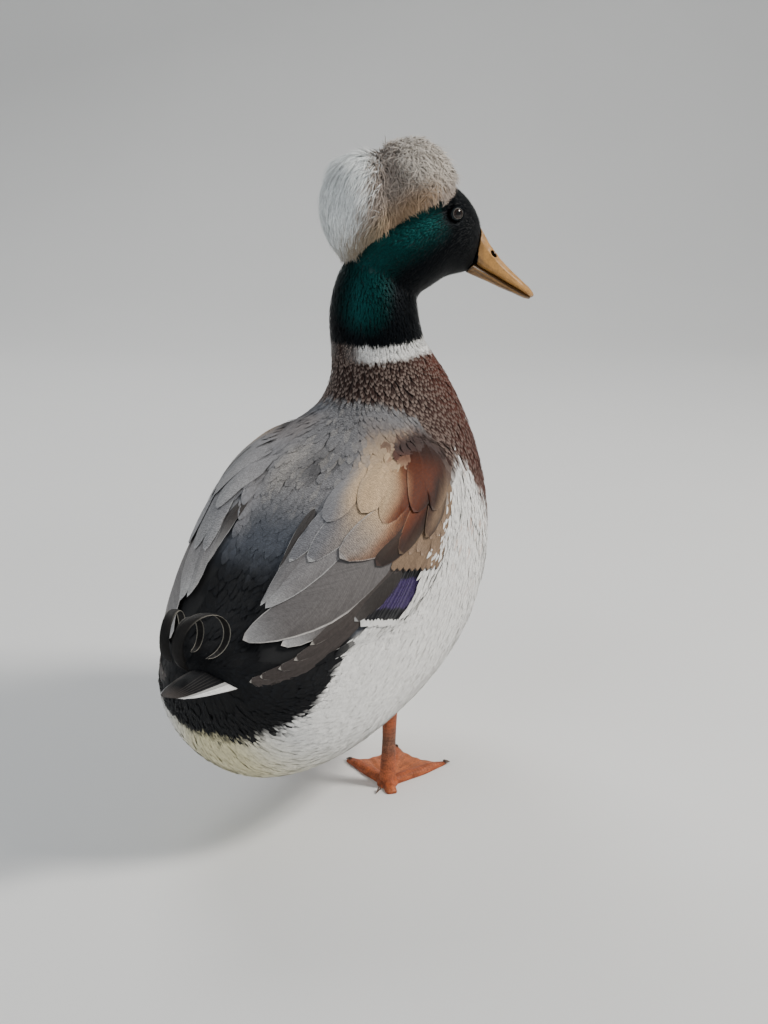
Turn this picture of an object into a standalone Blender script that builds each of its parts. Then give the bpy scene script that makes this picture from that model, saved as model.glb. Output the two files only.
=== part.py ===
"""A crested drake, life size, standing still with its head turned to its right.

X runs forward along the body, Y to the bird's left and Z up. While it is being built the
bird stands with its right leg abeam the origin; the last step moves it so that the origin
lies on the floor under the middle of the whole bird.
"""
import math

import bmesh
import bpy
import numpy as np

# ---------------------------------------------------------------- driving dimensions (metres)

GAP = 0.0004                 # clearance between neighbouring pieces
RING = 32                    # points round a body section

# Sections of trunk and neck, from the tail root forward. Each is an oval held between a point
# on the back line and a point on the belly line (x, z). Then come its half width, the level of
# its widest place from belly (0) to back (1), and its back: 1 is round, less is squarer.
BODY_SECTIONS = {
    "tail root end":   ((-0.1732, 0.1541), (-0.1732, 0.1373), 0.0200, 0.60, 1.00),
    "tail root":       ((-0.1660, 0.1602), (-0.1701, 0.1125), 0.0345, 0.55, 1.00),
    "vent":            ((-0.1534, 0.1694), (-0.1576, 0.0800), 0.0495, 0.50, 1.00),
    "rump":            ((-0.1365, 0.1811), (-0.1313, 0.0507), 0.0680, 0.48, 1.00),
    "loin":            ((-0.1112, 0.2005), (-0.0760, 0.0385), 0.0825, 0.46, 0.92),
    "thigh":           ((-0.0835, 0.2237), (-0.0070, 0.0395), 0.0915, 0.46, 0.84),
    "belly":           ((-0.0578, 0.2423), (0.0640, 0.0500), 0.0965, 0.48, 0.76),
    "back":            ((-0.0319, 0.2574), (0.1240, 0.0760), 0.0980, 0.50, 0.70),
    "shoulder":        ((-0.0079, 0.2687), (0.1590, 0.1190), 0.0945, 0.52, 0.70),
    "breast":          ((0.0106, 0.2785), (0.1760, 0.1690), 0.0855, 0.52, 0.76),
    "upper breast":    ((0.0227, 0.2867), (0.1780, 0.2200), 0.0720, 0.46, 0.86),
    "neck base":       ((0.0320, 0.2960), (0.1700, 0.2640), 0.0555, 0.36, 0.98),
    "lower neck":      ((0.0400, 0.3120), (0.1470, 0.3090), 0.0425, 0.38, 1.00),
    "collar":          ((0.0400, 0.3345), (0.1200, 0.3370), 0.0362, 0.46, 1.00),
    "neck":            ((0.0395, 0.3607), (0.1096, 0.3645), 0.0346, 0.50, 1.00),
    "neck top":        ((0.0450, 0.3908), (0.1100, 0.3870), 0.0287, 0.50, 1.00),
    "nape":            ((0.0600, 0.4155), (0.1015, 0.4080), 0.0150, 0.50, 1.00),
}
NECK_SPLIT = "lower neck"    # the trunk ends and the neck begins at this section
RINGS_PER_SECTION = 2
NECK_RING = 24
NECK_CLEARANCE = 0.02        # the neck starts this share of a section above the trunk

NECK_X = 0.0748               # the head turns about this upright line through the neck
HEAD_TURN = math.radians(-52)

# Sections of the head in its own frame: distance forward of the neck line and height.
HEAD_SECTIONS = {
    "hind end":        ((-0.0154, 0.4210), (-0.0174, 0.4055), 0.0097, 0.5, 1.0),
    "occiput":         ((-0.0097, 0.4345), (-0.0136, 0.3910), 0.0213, 0.5, 1.0),
    "hind crown":      ((0.0077, 0.4500), (0.0039, 0.3785), 0.0295, 0.5, 1.0),
    "ear":             ((0.0290, 0.4586), (0.0232, 0.3717), 0.0318, 0.46, 1.0),
    "cheek":           ((0.0483, 0.4611), (0.0406, 0.3776), 0.0304, 0.46, 1.0),
    "eye":             ((0.0647, 0.4572), (0.0540, 0.3862), 0.0265, 0.48, 1.0),
    "lore":            ((0.0763, 0.4456), (0.0647, 0.3892), 0.0217, 0.5, 1.0),
    "forehead":        ((0.0828, 0.4335), (0.0724, 0.3905), 0.0159, 0.5, 1.0),
    "bill base":       ((0.0848, 0.4262), (0.0768, 0.3925), 0.0106, 0.5, 1.0),
}
HEAD_RING = 24

# Sections of the bill: (culmen), (mouth line), (underside), half width.
BILL_SECTIONS = {
    "root":            ((0.0768, 0.4330), (0.0695, 0.4031), (0.0667, 0.3945), 0.0106),
    "base":            ((0.0840, 0.4264), (0.0767, 0.3993), (0.0737, 0.3906), 0.0108),
    "nostril":         ((0.0920, 0.4124), (0.0849, 0.3941), (0.0821, 0.3868), 0.0105),
    "middle":          ((0.1007, 0.4007), (0.0941, 0.3888), (0.0912, 0.3828), 0.0105),
    "spatula":         ((0.1104, 0.3906), (0.1048, 0.3826), (0.1019, 0.3776), 0.0112),
    "widest":          ((0.1190, 0.3826), (0.1144, 0.3770), (0.1119, 0.3733), 0.0114),
    "nail":            ((0.1256, 0.3757), (0.1221, 0.3724), (0.1202, 0.3694), 0.0090),
    "tip":             ((0.1284, 0.3713), (0.1260, 0.3699), (0.1250, 0.3683), 0.0039),
}
BILL_RING = 12
BILL_SQUARENESS = 0.8        # 1 makes the bill's sections round, less squarer
LOWER_BILL_WIDTH = 0.86      # of the upper bill's

EYE_RADIUS = 0.0058
EYE_FORWARD = 0.0599
EYE_HEIGHT = 0.4384
EYE_OUT = 0.0217             # the eye's centre, out from the head's middle plane
EYE_SEGMENTS = 12
EYE_RINGS = 8

# The crest is two balls of soft feathers grown together: centre and radii (forward, left, up).
CREST_HEART = (0.0116, 0.0000, 0.4519)
CREST_BALLS = {
    "rear":            ((-0.0100, 0.0029, 0.4423), (0.0318, 0.0395, 0.0425)),
    "front":           ((0.0299, -0.0029, 0.4616), (0.0329, 0.0357, 0.0329)),
}
CREST_BLEND = 9              # how sharply the two balls meet
CREST_LUMP = 0.0017          # height of the tufts that make its surface uneven
CREST_LUMP_TURNS = (9, 8, 7)  # how often they come along each direction

# Folded wing, from the bend to the tip of the flight feathers: place along the body, angle of
# its upper and of its lower edge round the body (degrees), and how far it stands out.
WING_SECTIONS = {
    "bend":            (9.70, 42, 64, 0.0034),
    "wrist":           (9.00, 34, 71, 0.0075),
    "shoulder feathers": (7.80, 24, 70, 0.0103),
    "coverts":         (6.60, 16, 69, 0.0108),
    "speculum":        (5.50, 13, 71, 0.0103),
    "secondaries":     (4.50, 14, 65, 0.0094),
    "tertials":        (3.40, 17, 57, 0.0080),
    "tertial tip":     (2.70, 23, 55, 0.0061),
    "primary":         (2.10, 38, 55, 0.0049),
    "primary tip":     (1.45, 50, 56, 0.0034),
}
WING_EDGE = 0.0034           # the wing's thickness at its edges
WING_ROOT = 0.0045           # how deep its blank reaches before the trunk is cut from it
WING_ROWS = 19
NORMAL_STEP = 0.02           # the trunk's slope is taken over this step in place and angle
WING_COLUMNS = 8
WING_EDGE_SHARE = 0.12       # the dome over the wing starts this far into a half wave
WING_DOME = 0.7              # 1 domes the wing like a half wave, less flattens its middle

# Closed tail, a low roof of feathers: distance back, height of the ridge and half width.
TAIL_SECTIONS = {
    "inside the rump": (-0.1534, 0.1492, 0.0329),
    "root":            (-0.1722, 0.1492, 0.0348),
    "middle":          (-0.1888, 0.1492, 0.0301),
    "behind":          (-0.2034, 0.1496, 0.0188),
    "tip":             (-0.2168, 0.1492, 0.0038),
}
TAIL_THICKNESS = 0.0056
TAIL_FALL = 0.0056           # the roof's edges lie this far below its ridge
TAIL_THINNING = 0.7          # how much thinner the tip is than the root
TAIL_ROWS = 10
TAIL_RING = 16

# Curled feathers over the tail: root point, radius of the curl and its sideways drift.
CURLS = {
    "tail_curl_right": ((-0.1911, -0.0019, 0.1561), 0.0230, -0.42),
    "tail_curl_middle": ((-0.1817, 0.0094, 0.1565), 0.0179, 0.05),
    "tail_curl_left":  ((-0.1780, 0.0244, 0.1535), 0.0202, 0.25),
}
CURL_WIDTH = 0.0080
CURL_THICKNESS = 0.0012
CURL_START = math.radians(238)  # where on its circle the ribbon leaves the tail
CURL_SWEEP = math.radians(330)
CURL_TIGHTENING = 0.42       # how much smaller the curl's radius is at its tip
CURL_NARROWING = 0.55
CURL_STEPS = 22

TARSUS_TOP = 0.0696
TARSUS_HALF_LENGTH = 0.0074  # half its thickness from front to back, at its ends
TARSUS_HALF_WIDTH = 0.0062
TARSUS_WAIST = 0.22          # how much slimmer it is half way up
TARSUS_LEAN = 0.004          # its top lies this far forward of the foot
TARSUS_ROWS = 7
TARSUS_RING = 14
FEET = {                     # ankle on the floor, directions of inner, middle and outer toe
    "right": ((-0.0040, -0.0540), (65, 21, -25)),
    "left":  ((0.0060, 0.0520), (-40, 3, 45)),
}
TOE_LENGTHS = (0.0526, 0.0667, 0.0611)
HALLUX_LENGTH = 0.0169
TOE_HEIGHT = 0.0058
WEB_HEIGHT = 0.0022
HEEL_RADIUS = 0.0080
HALLUX_TURN = 0.35           # radians from straight back, towards the inner side
HALF_TOE = 0.0045
TOE_RIDGE = 0.0052           # the toes' ridges fall to the web over this distance
TOE_TAPER = 0.45             # how much lower a toe is at its tip
WEB_DEPTH = (0.93, 0.13)     # the web's edge, as a share of the toes' length, and its hollow
FOOT_RIM = 0.55              # height of the foot's edge, as a share of the height beside it
FOOT_SPOKES = 54
FOOT_ROUNDS = 4

# ---------------------------------------------------------------- curves and meshes


def smooth(values, place):
    """Value at a fractional place along a list of numbers or points, on a Catmull-Rom curve."""
    points = np.asarray(values, dtype=float)
    last = len(points) - 1
    place = min(max(place, 0.0), float(last))
    i = min(int(place), last - 1)
    t = place - i
    before = points[i - 1] if i > 0 else 2 * points[i] - points[i + 1]
    after = points[i + 2] if i + 2 <= last else 2 * points[i + 1] - points[i]
    start_slope = (points[i + 1] - before) / 2
    end_slope = (after - points[i]) / 2
    return ((2 * t**3 - 3 * t**2 + 1) * points[i] + (t**3 - 2 * t**2 + t) * start_slope
            + (3 * t**2 - 2 * t**3) * points[i + 1] + (t**3 - t**2) * end_slope)


def oval(back, belly, half_width, widest, roundness, angle):
    """Point of an upright oval section; angle 0 is the back, +90 degrees the right side."""
    centre = belly + widest * (back - belly)
    rise = math.cos(angle)
    side = math.sin(angle)
    reach = (back - centre) if rise > 0 else (centre - belly)
    if rise > 0:
        side = math.copysign(abs(side) ** roundness, side)
    x, z = centre + rise * reach
    return np.array([x, -half_width * side, z])


def sections_of(table):
    """The columns of a section table as smooth functions of the place along it."""
    rows = list(table.values())
    backs = [row[0] for row in rows]
    bellies = [row[1] for row in rows]
    widths = [row[2] for row in rows]
    levels = [row[3] for row in rows]
    rounds = [row[4] for row in rows]

    def at(place):
        return (smooth(backs, place), smooth(bellies, place), float(smooth(widths, place)),
                float(smooth(levels, place)), float(smooth(rounds, place)))
    return at


body_section = sections_of(BODY_SECTIONS)
head_section = sections_of(HEAD_SECTIONS)


def body_point(place, angle):
    """Point of the trunk and neck surface."""
    return oval(*body_section(place), angle)


def turn_head(point):
    """From the head's own frame (forward, left, up) to the bird's."""
    forward, left, up = point
    cosine = math.cos(HEAD_TURN)
    sine = math.sin(HEAD_TURN)
    return np.array([NECK_X + cosine * forward - sine * left, sine * forward + cosine * left, up])


def head_point(place, angle):
    """Point of the head's surface."""
    return turn_head(oval(*head_section(place), angle))


def finish(name, mesh_data, material):
    """An object of triangles that face outwards, so that a swollen copy has the same facets."""
    bmesh.ops.triangulate(mesh_data, faces=mesh_data.faces)
    bmesh.ops.recalc_face_normals(mesh_data, faces=mesh_data.faces)
    mesh = bpy.data.meshes.new(name)
    mesh_data.to_mesh(mesh)
    mesh_data.free()
    mesh.materials.append(material)
    mesh.shade_smooth()
    item = bpy.data.objects.new(name, mesh)
    bpy.context.scene.collection.objects.link(item)
    return item


def loft(name, rings, material):
    """A closed solid through rings of points, with a flat face at each end."""
    mesh_data = bmesh.new()
    rows = [[mesh_data.verts.new(point) for point in ring] for ring in rings]
    count = len(rows[0])
    for low, high in zip(rows, rows[1:]):
        for i in range(count):
            j = (i + 1) % count
            mesh_data.faces.new((low[i], low[j], high[j], high[i]))
    mesh_data.faces.new(rows[0][::-1])
    mesh_data.faces.new(rows[-1])
    return finish(name, mesh_data, material)


def swollen(item, distance):
    """A cutter: a copy of a solid grown along its normals, left out of the model."""
    mesh = item.data.copy()
    normals = [vertex.normal.copy() for vertex in mesh.vertices]
    for vertex, normal in zip(mesh.vertices, normals):
        vertex.co += normal * distance
    cutter = bpy.data.objects.new(item.name + "_room", mesh)
    bpy.context.scene.collection.objects.link(cutter)
    cutter.hide_render = True
    cutter.display_type = "WIRE"
    return cutter


def cut(item, cutter):
    """Take a cutter's volume out of a solid."""
    boolean = item.modifiers.new("room for " + cutter.name, "BOOLEAN")
    boolean.operation = "DIFFERENCE"
    boolean.solver = "EXACT"
    boolean.object = cutter


def material(name, colour, roughness):
    """A plain Principled finish."""
    result = bpy.data.materials.new(name)
    result.use_nodes = True
    shader = result.node_tree.nodes["Principled BSDF"]
    shader.inputs["Base Color"].default_value = (*colour, 1.0)
    shader.inputs["Roughness"].default_value = roughness
    shader.inputs["Metallic"].default_value = 0.0
    return result


def place_of(table, name):
    """How far along a section table a named section stands."""
    return list(table).index(name)


# ---------------------------------------------------------------- sub-parts


def ring_of(point_at, place, count):
    """One ring of points round a surface."""
    return [point_at(place, 2 * math.pi * i / count) for i in range(count)]


def make_trunk(finish_material):
    """Body from the tail root to the base of the neck."""
    end = place_of(BODY_SECTIONS, NECK_SPLIT)
    places = np.linspace(0, end, end * RINGS_PER_SECTION + 1)
    return loft("trunk", [ring_of(body_point, p, RING) for p in places], finish_material)


def make_neck(finish_material):
    """Neck from just above the trunk into the head."""
    split = place_of(BODY_SECTIONS, NECK_SPLIT)
    end = len(BODY_SECTIONS) - 1
    places = np.linspace(split + NECK_CLEARANCE, end, RINGS_PER_SECTION * (end - split) + 1)
    return loft("neck", [ring_of(body_point, p, NECK_RING) for p in places], finish_material)


def make_head(finish_material):
    """Head without the bill, crest and eyes."""
    end = len(HEAD_SECTIONS) - 1
    places = np.linspace(0, end, end * RINGS_PER_SECTION + 1)
    return loft("head", [ring_of(head_point, p, HEAD_RING) for p in places], finish_material)


def bill_ring(top, bottom, half_width, height_above, height_below):
    """One section of half a bill; its widest level parts the height in the two shares given."""
    ring = []
    centre = np.asarray(top) * height_below + np.asarray(bottom) * height_above
    centre = centre / (height_above + height_below)
    for i in range(BILL_RING):
        angle = 2 * math.pi * i / BILL_RING
        rise = math.cos(angle)
        reach = (np.asarray(top) - centre) if rise > 0 else (centre - np.asarray(bottom))
        level = math.copysign(abs(rise) ** BILL_SQUARENESS, rise)
        x, z = centre + level * reach
        side = math.copysign(abs(math.sin(angle)) ** BILL_SQUARENESS, math.sin(angle))
        ring.append(turn_head((x, -half_width * side, z)))
    return ring


def make_bill(finish_material):
    """Upper and lower bill, parted along the mouth."""
    rows = list(BILL_SECTIONS.values())
    culmen = [row[0] for row in rows]
    mouth = [row[1] for row in rows]
    under = [row[2] for row in rows]
    widths = [row[3] for row in rows]
    end = len(rows) - 1
    places = np.linspace(0, end, end * RINGS_PER_SECTION + 1)
    upper = []
    lower = []
    for place in places:
        top = smooth(culmen, place)
        middle = smooth(mouth, place)
        bottom = smooth(under, place)
        width = float(smooth(widths, place))
        part_line = GAP * (top - bottom) / np.linalg.norm(top - bottom)
        upper.append(bill_ring(top, middle + part_line / 2, width, 3, 1))
        lower.append(bill_ring(middle - part_line / 2, bottom, width * LOWER_BILL_WIDTH, 1, 2))
    return loft("bill_upper", upper, finish_material), loft("bill_lower", lower, finish_material)


def make_eye(side, finish_material):
    """An eyeball on one side of the head; side is +1 on the left."""
    mesh_data = bmesh.new()
    bmesh.ops.create_uvsphere(mesh_data, u_segments=EYE_SEGMENTS, v_segments=EYE_RINGS,
                              radius=EYE_RADIUS)
    centre = turn_head((EYE_FORWARD, side * EYE_OUT, EYE_HEIGHT))
    bmesh.ops.translate(mesh_data, verts=mesh_data.verts, vec=centre)
    return finish("eye_left" if side > 0 else "eye_right", mesh_data, finish_material)


def ball_exit(heart, direction, centre, radii):
    """Distance from a point inside a ball to its surface, along a direction."""
    start = (np.asarray(heart) - centre) / radii
    step = np.asarray(direction) / radii
    a = step @ step
    b = start @ step
    c = start @ start - 1
    return (-b + math.sqrt(b * b - a * c)) / a


def make_crest(finish_material):
    """The ball of feathers on the back of the head."""
    mesh_data = bmesh.new()
    bmesh.ops.create_icosphere(mesh_data, subdivisions=4, radius=1)
    for vertex in mesh_data.verts:
        way = np.array(vertex.co.normalized())
        exits = [ball_exit(CREST_HEART, way, centre, radii)
                 for centre, radii in CREST_BALLS.values()]
        reach = sum(value**CREST_BLEND for value in exits) ** (1 / CREST_BLEND)
        waves = [math.sin(turns * value + turns) for turns, value in zip(CREST_LUMP_TURNS, way)]
        lump = waves[0] * waves[1] * waves[2]
        vertex.co = turn_head(np.asarray(CREST_HEART) + way * (reach + CREST_LUMP * lump))
    return finish("crest", mesh_data, finish_material)


def outward(place, angle):
    """Unit normal of the trunk's surface."""
    step = NORMAL_STEP
    along = body_point(place + step, angle) - body_point(place - step, angle)
    around = body_point(place, angle + step) - body_point(place, angle - step)
    normal = np.cross(around, along)
    normal /= np.linalg.norm(normal)
    back, belly = body_section(place)[:2]
    middle = (back + belly) / 2
    away = body_point(place, angle) - np.array([middle[0], 0, middle[1]])
    return normal if normal @ away > 0 else -normal


def make_wing(side, finish_material):
    """A folded wing: a shell over the trunk with free tips over the rump."""
    rows = list(WING_SECTIONS.values())
    lengthwise = WING_ROWS
    across = WING_COLUMNS
    outer = []
    inner = []
    for place_in_table in np.linspace(0, len(rows) - 1, lengthwise):
        place, top, bottom, stand = (float(v) for v in smooth(rows, place_in_table))
        for angle in np.linspace(math.radians(top), math.radians(bottom), across):
            share = (angle - math.radians(top)) / math.radians(bottom - top)
            wave = WING_EDGE_SHARE + (1 - 2 * WING_EDGE_SHARE) * share
            dome = math.sin(math.pi * wave) ** WING_DOME
            point = body_point(place, -side * angle)
            normal = outward(place, -side * angle)
            outer.append(point + normal * max(stand * dome, WING_EDGE + GAP))
            inner.append(point - normal * WING_ROOT)
    mesh_data = bmesh.new()
    outer = [mesh_data.verts.new(point) for point in outer]
    inner = [mesh_data.verts.new(point) for point in inner]
    last_row = (lengthwise - 1) * across
    for i in range(lengthwise - 1):
        for j in range(across - 1):
            a = i * across + j
            corners = (a, a + 1, a + across + 1, a + across)
            mesh_data.faces.new([outer[k] for k in corners])
            mesh_data.faces.new([inner[k] for k in corners[::-1]])
        for edge in (i * across, i * across + across - 1):
            mesh_data.faces.new((outer[edge], outer[edge + across],
                                 inner[edge + across], inner[edge]))
    for j in range(across - 1):
        for edge in (j, last_row + j):
            mesh_data.faces.new((outer[edge], outer[edge + 1], inner[edge + 1], inner[edge]))
    return finish("wing_left" if side > 0 else "wing_right", mesh_data, finish_material)


def make_tail(finish_material):
    """The closed tail, from inside the rump to its tip."""
    rows = list(TAIL_SECTIONS.values())
    rings = []
    for place in np.linspace(0, len(rows) - 1, TAIL_ROWS):
        x, ridge, half_width = smooth(rows, place)
        thin = 1 - TAIL_THINNING * place / (len(rows) - 1)
        ring = []
        for i in range(TAIL_RING):
            angle = 2 * math.pi * i / TAIL_RING
            across = math.sin(angle)
            level = ridge - TAIL_FALL * across**2 * half_width / rows[1][2]
            swell = TAIL_THICKNESS * thin / 2 * (math.cos(angle) - 1)
            ring.append(np.array([x, half_width * across, level + swell]))
        rings.append(ring)
    return loft("tail", rings, finish_material)


def make_curl(name, root, size, lean, finish_material):
    """One curled tail feather: a ribbon rising from the tail and rolling forward."""
    rings = []
    path = []
    for i in range(CURL_STEPS):
        share = i / (CURL_STEPS - 1)
        angle = CURL_START - CURL_SWEEP * share
        radius = size * (1 - CURL_TIGHTENING * share)
        path.append((radius * math.cos(angle), radius * math.sin(angle)))
    start = np.array(path[0])
    path = [np.array(point) - start for point in path]
    for i, (along, up) in enumerate(path):
        before = path[max(i - 1, 0)]
        after = path[min(i + 1, CURL_STEPS - 1)]
        tangent = (after - before) / np.linalg.norm(after - before)
        normal = np.array([-tangent[1], tangent[0]])
        share = i / (CURL_STEPS - 1)
        width = CURL_WIDTH * (1 - CURL_NARROWING * share**2)
        drift = lean * along
        ring = []
        for across, out in ((-1, -1), (1, -1), (1, 1), (-1, 1)):
            x, z = np.array([along, up]) + normal * out * CURL_THICKNESS / 2
            ring.append((root[0] + x, root[1] + drift + across * width / 2, root[2] + z))
        rings.append(ring)
    return loft(name, rings, finish_material)


def make_leg(name, ankle, finish_material):
    """The bare shank, from the foot up into the belly feathers."""
    rings = []
    for share in np.linspace(0, 1, TARSUS_ROWS):
        height = TOE_HEIGHT + GAP + (TARSUS_TOP - TOE_HEIGHT - GAP) * share
        waist = 1 - TARSUS_WAIST * math.sin(math.pi * share)
        x = ankle[0] + TARSUS_LEAN * math.sin(math.pi / 2 * share)
        ring = [(x + TARSUS_HALF_LENGTH * waist * math.cos(angle),
                 ankle[1] + TARSUS_HALF_WIDTH * waist * math.sin(angle), height)
                for angle in np.linspace(0, 2 * math.pi, TARSUS_RING, endpoint=False)]
        rings.append(ring)
    return loft(name, rings, finish_material)


def nearest_toe(x, y, toes):
    """Distance from a point of the foot to the nearest toe's middle line, and place along it."""
    best = (1.0, 0.0)
    for direction, length in toes:
        dx, dy = math.cos(direction), math.sin(direction)
        along = min(max(x * dx + y * dy, 0.0), length)
        off = math.hypot(x - along * dx, y - along * dy)
        if off < best[0]:
            best = (off, along / length)
    return best


def foot_edge(direction, toes, hallux):
    """How far the foot reaches in a direction: toes, the webs between them, heel and hallux."""
    reach = HEEL_RADIUS
    for toe_direction, length in toes + [hallux]:
        turn = abs(math.remainder(direction - toe_direction, 2 * math.pi))
        if turn < math.radians(90):
            side_reach = HALF_TOE / max(math.sin(turn), HALF_TOE / length)
            reach = max(reach, min(length, side_reach))
    for (first, first_length), (second, second_length) in ((toes[0], toes[1]), (toes[1], toes[2])):
        span = second - first
        share = math.remainder(direction - first, 2 * math.pi) / span
        if 0 < share < 1:
            straight = first_length + (second_length - first_length) * share
            hollow = WEB_DEPTH[1] * math.sin(math.pi * share)
            reach = max(reach, straight * (WEB_DEPTH[0] - hollow))
    return reach


def make_foot(name, ankle, directions, finish_material):
    """A webbed foot with its sole flat on the floor."""
    toes = [(math.radians(d), length) for d, length in zip(directions, TOE_LENGTHS)]
    behind = math.radians(directions[1] + 180) + math.copysign(HALLUX_TURN, directions[0])
    hallux = (behind, HALLUX_LENGTH)
    mesh_data = bmesh.new()
    top_middle = mesh_data.verts.new((*ankle, TOE_HEIGHT))
    sole_middle = mesh_data.verts.new((*ankle, 0))
    tops = []
    soles = []
    for i in range(FOOT_SPOKES):
        direction = 2 * math.pi * i / FOOT_SPOKES + toes[1][0]
        edge = foot_edge(direction, toes, hallux)
        spoke = []
        for j in range(1, FOOT_ROUNDS + 1):
            reach = edge * j / FOOT_ROUNDS
            x, y = reach * math.cos(direction), reach * math.sin(direction)
            off, along = nearest_toe(x, y, toes + [hallux])
            ridge = math.exp(-((off / TOE_RIDGE) ** 2)) * (1 - TOE_TAPER * along)
            height = WEB_HEIGHT + (TOE_HEIGHT - WEB_HEIGHT) * ridge
            if j == FOOT_ROUNDS:
                height *= FOOT_RIM
            spoke.append(mesh_data.verts.new((ankle[0] + x, ankle[1] + y, height)))
        tops.append(spoke)
        x, y = edge * math.cos(direction), edge * math.sin(direction)
        soles.append(mesh_data.verts.new((ankle[0] + x, ankle[1] + y, 0)))
    for i in range(FOOT_SPOKES):
        k = (i + 1) % FOOT_SPOKES
        mesh_data.faces.new((top_middle, tops[i][0], tops[k][0]))
        for j in range(FOOT_ROUNDS - 1):
            mesh_data.faces.new((tops[i][j], tops[i][j + 1], tops[k][j + 1], tops[k][j]))
        mesh_data.faces.new((tops[i][-1], soles[i], soles[k], tops[k][-1]))
        mesh_data.faces.new((sole_middle, soles[k], soles[i]))
    return finish(name, mesh_data, finish_material)


def stand_on_origin(items):
    """Move the bird so that the origin is on the floor, under the middle of its box."""
    stand = bpy.data.objects.new("bird", None)
    bpy.context.scene.collection.objects.link(stand)
    bpy.context.view_layer.update()
    graph = bpy.context.evaluated_depsgraph_get()
    corners = [item.evaluated_get(graph).matrix_world @ vertex.co
               for item in items for vertex in item.evaluated_get(graph).data.vertices]
    low = np.min(corners, axis=0)
    high = np.max(corners, axis=0)
    for item in bpy.data.objects:
        if item is not stand:
            item.parent = stand
    stand.location = (-(low[0] + high[0]) / 2, -(low[1] + high[1]) / 2, -low[2])
    return stand.location


def main():
    for item in list(bpy.data.objects):
        bpy.data.objects.remove(item)
    plumage = material("plumage", (0.62, 0.60, 0.57), 0.8)
    wing_plumage = material("wing plumage", (0.34, 0.30, 0.28), 0.7)
    dark = material("head plumage", (0.02, 0.09, 0.07), 0.5)
    black = material("tail plumage", (0.02, 0.02, 0.025), 0.6)
    pale = material("crest plumage", (0.78, 0.76, 0.74), 0.9)
    horn = material("bill", (0.62, 0.36, 0.10), 0.4)
    eyeball = material("eye", (0.03, 0.02, 0.015), 0.1)
    scaled_skin = material("leg skin", (0.72, 0.25, 0.07), 0.5)

    trunk = make_trunk(plumage)
    neck = make_neck(dark)
    head = make_head(dark)
    upper, lower = make_bill(horn)
    crest = make_crest(pale)
    tail = make_tail(black)
    eyes = [make_eye(side, eyeball) for side in (1, -1)]
    wings = [make_wing(side, wing_plumage) for side in (1, -1)]
    curls = [make_curl(name, *shape, black) for name, shape in CURLS.items()]
    feet = []
    legs = []
    for name, (ankle, directions) in FEET.items():
        feet.append(make_foot("foot_" + name, ankle, directions, scaled_skin))
        legs.append(make_leg("leg_" + name, ankle, scaled_skin))

    head_room = swollen(head, GAP)
    neck_room = swollen(neck, GAP)
    trunk_room = swollen(trunk, GAP)
    tail_room = swollen(tail, GAP)
    for item in (neck, upper, lower, crest):
        cut(item, head_room)
    cut(crest, neck_room)
    for item in [tail] + wings + curls + legs:
        cut(item, trunk_room)
    for item in curls:
        cut(item, tail_room)
    for eye in eyes:
        cut(head, swollen(eye, GAP))
    pieces = [trunk, neck, head, upper, lower, crest, tail] + eyes + wings + curls + feet + legs
    return stand_on_origin(pieces)


MOVED = main()
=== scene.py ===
"""The looks of a crested drake: a still, life-size model that stands on its two webbed feet."""

import math

import bmesh
import bpy
import numpy as np
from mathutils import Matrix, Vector
from mathutils.bvhtree import BVHTree
from mathutils.kdtree import KDTree


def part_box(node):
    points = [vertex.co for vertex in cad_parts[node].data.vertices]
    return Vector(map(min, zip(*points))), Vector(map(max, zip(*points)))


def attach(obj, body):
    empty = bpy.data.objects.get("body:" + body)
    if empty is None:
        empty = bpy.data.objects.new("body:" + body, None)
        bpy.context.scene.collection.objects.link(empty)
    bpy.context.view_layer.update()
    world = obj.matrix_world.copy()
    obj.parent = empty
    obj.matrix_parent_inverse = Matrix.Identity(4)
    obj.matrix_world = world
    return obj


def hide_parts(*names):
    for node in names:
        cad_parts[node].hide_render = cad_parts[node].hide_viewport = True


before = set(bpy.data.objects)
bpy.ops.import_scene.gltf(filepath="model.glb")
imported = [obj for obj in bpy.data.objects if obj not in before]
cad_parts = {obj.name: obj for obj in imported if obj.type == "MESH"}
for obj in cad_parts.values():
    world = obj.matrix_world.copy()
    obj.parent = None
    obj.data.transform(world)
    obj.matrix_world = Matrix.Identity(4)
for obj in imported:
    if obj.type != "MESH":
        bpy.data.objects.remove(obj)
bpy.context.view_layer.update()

# ------------------------------------------------------------------------------------- skin
# The hide under the feathers, one closed skin over trunk, neck, head, crest and wings. It is
# their solids grown together, smoothed, and drawn in by the depth of the feathers that it
# carries. It wears the same markings as they do.

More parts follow.
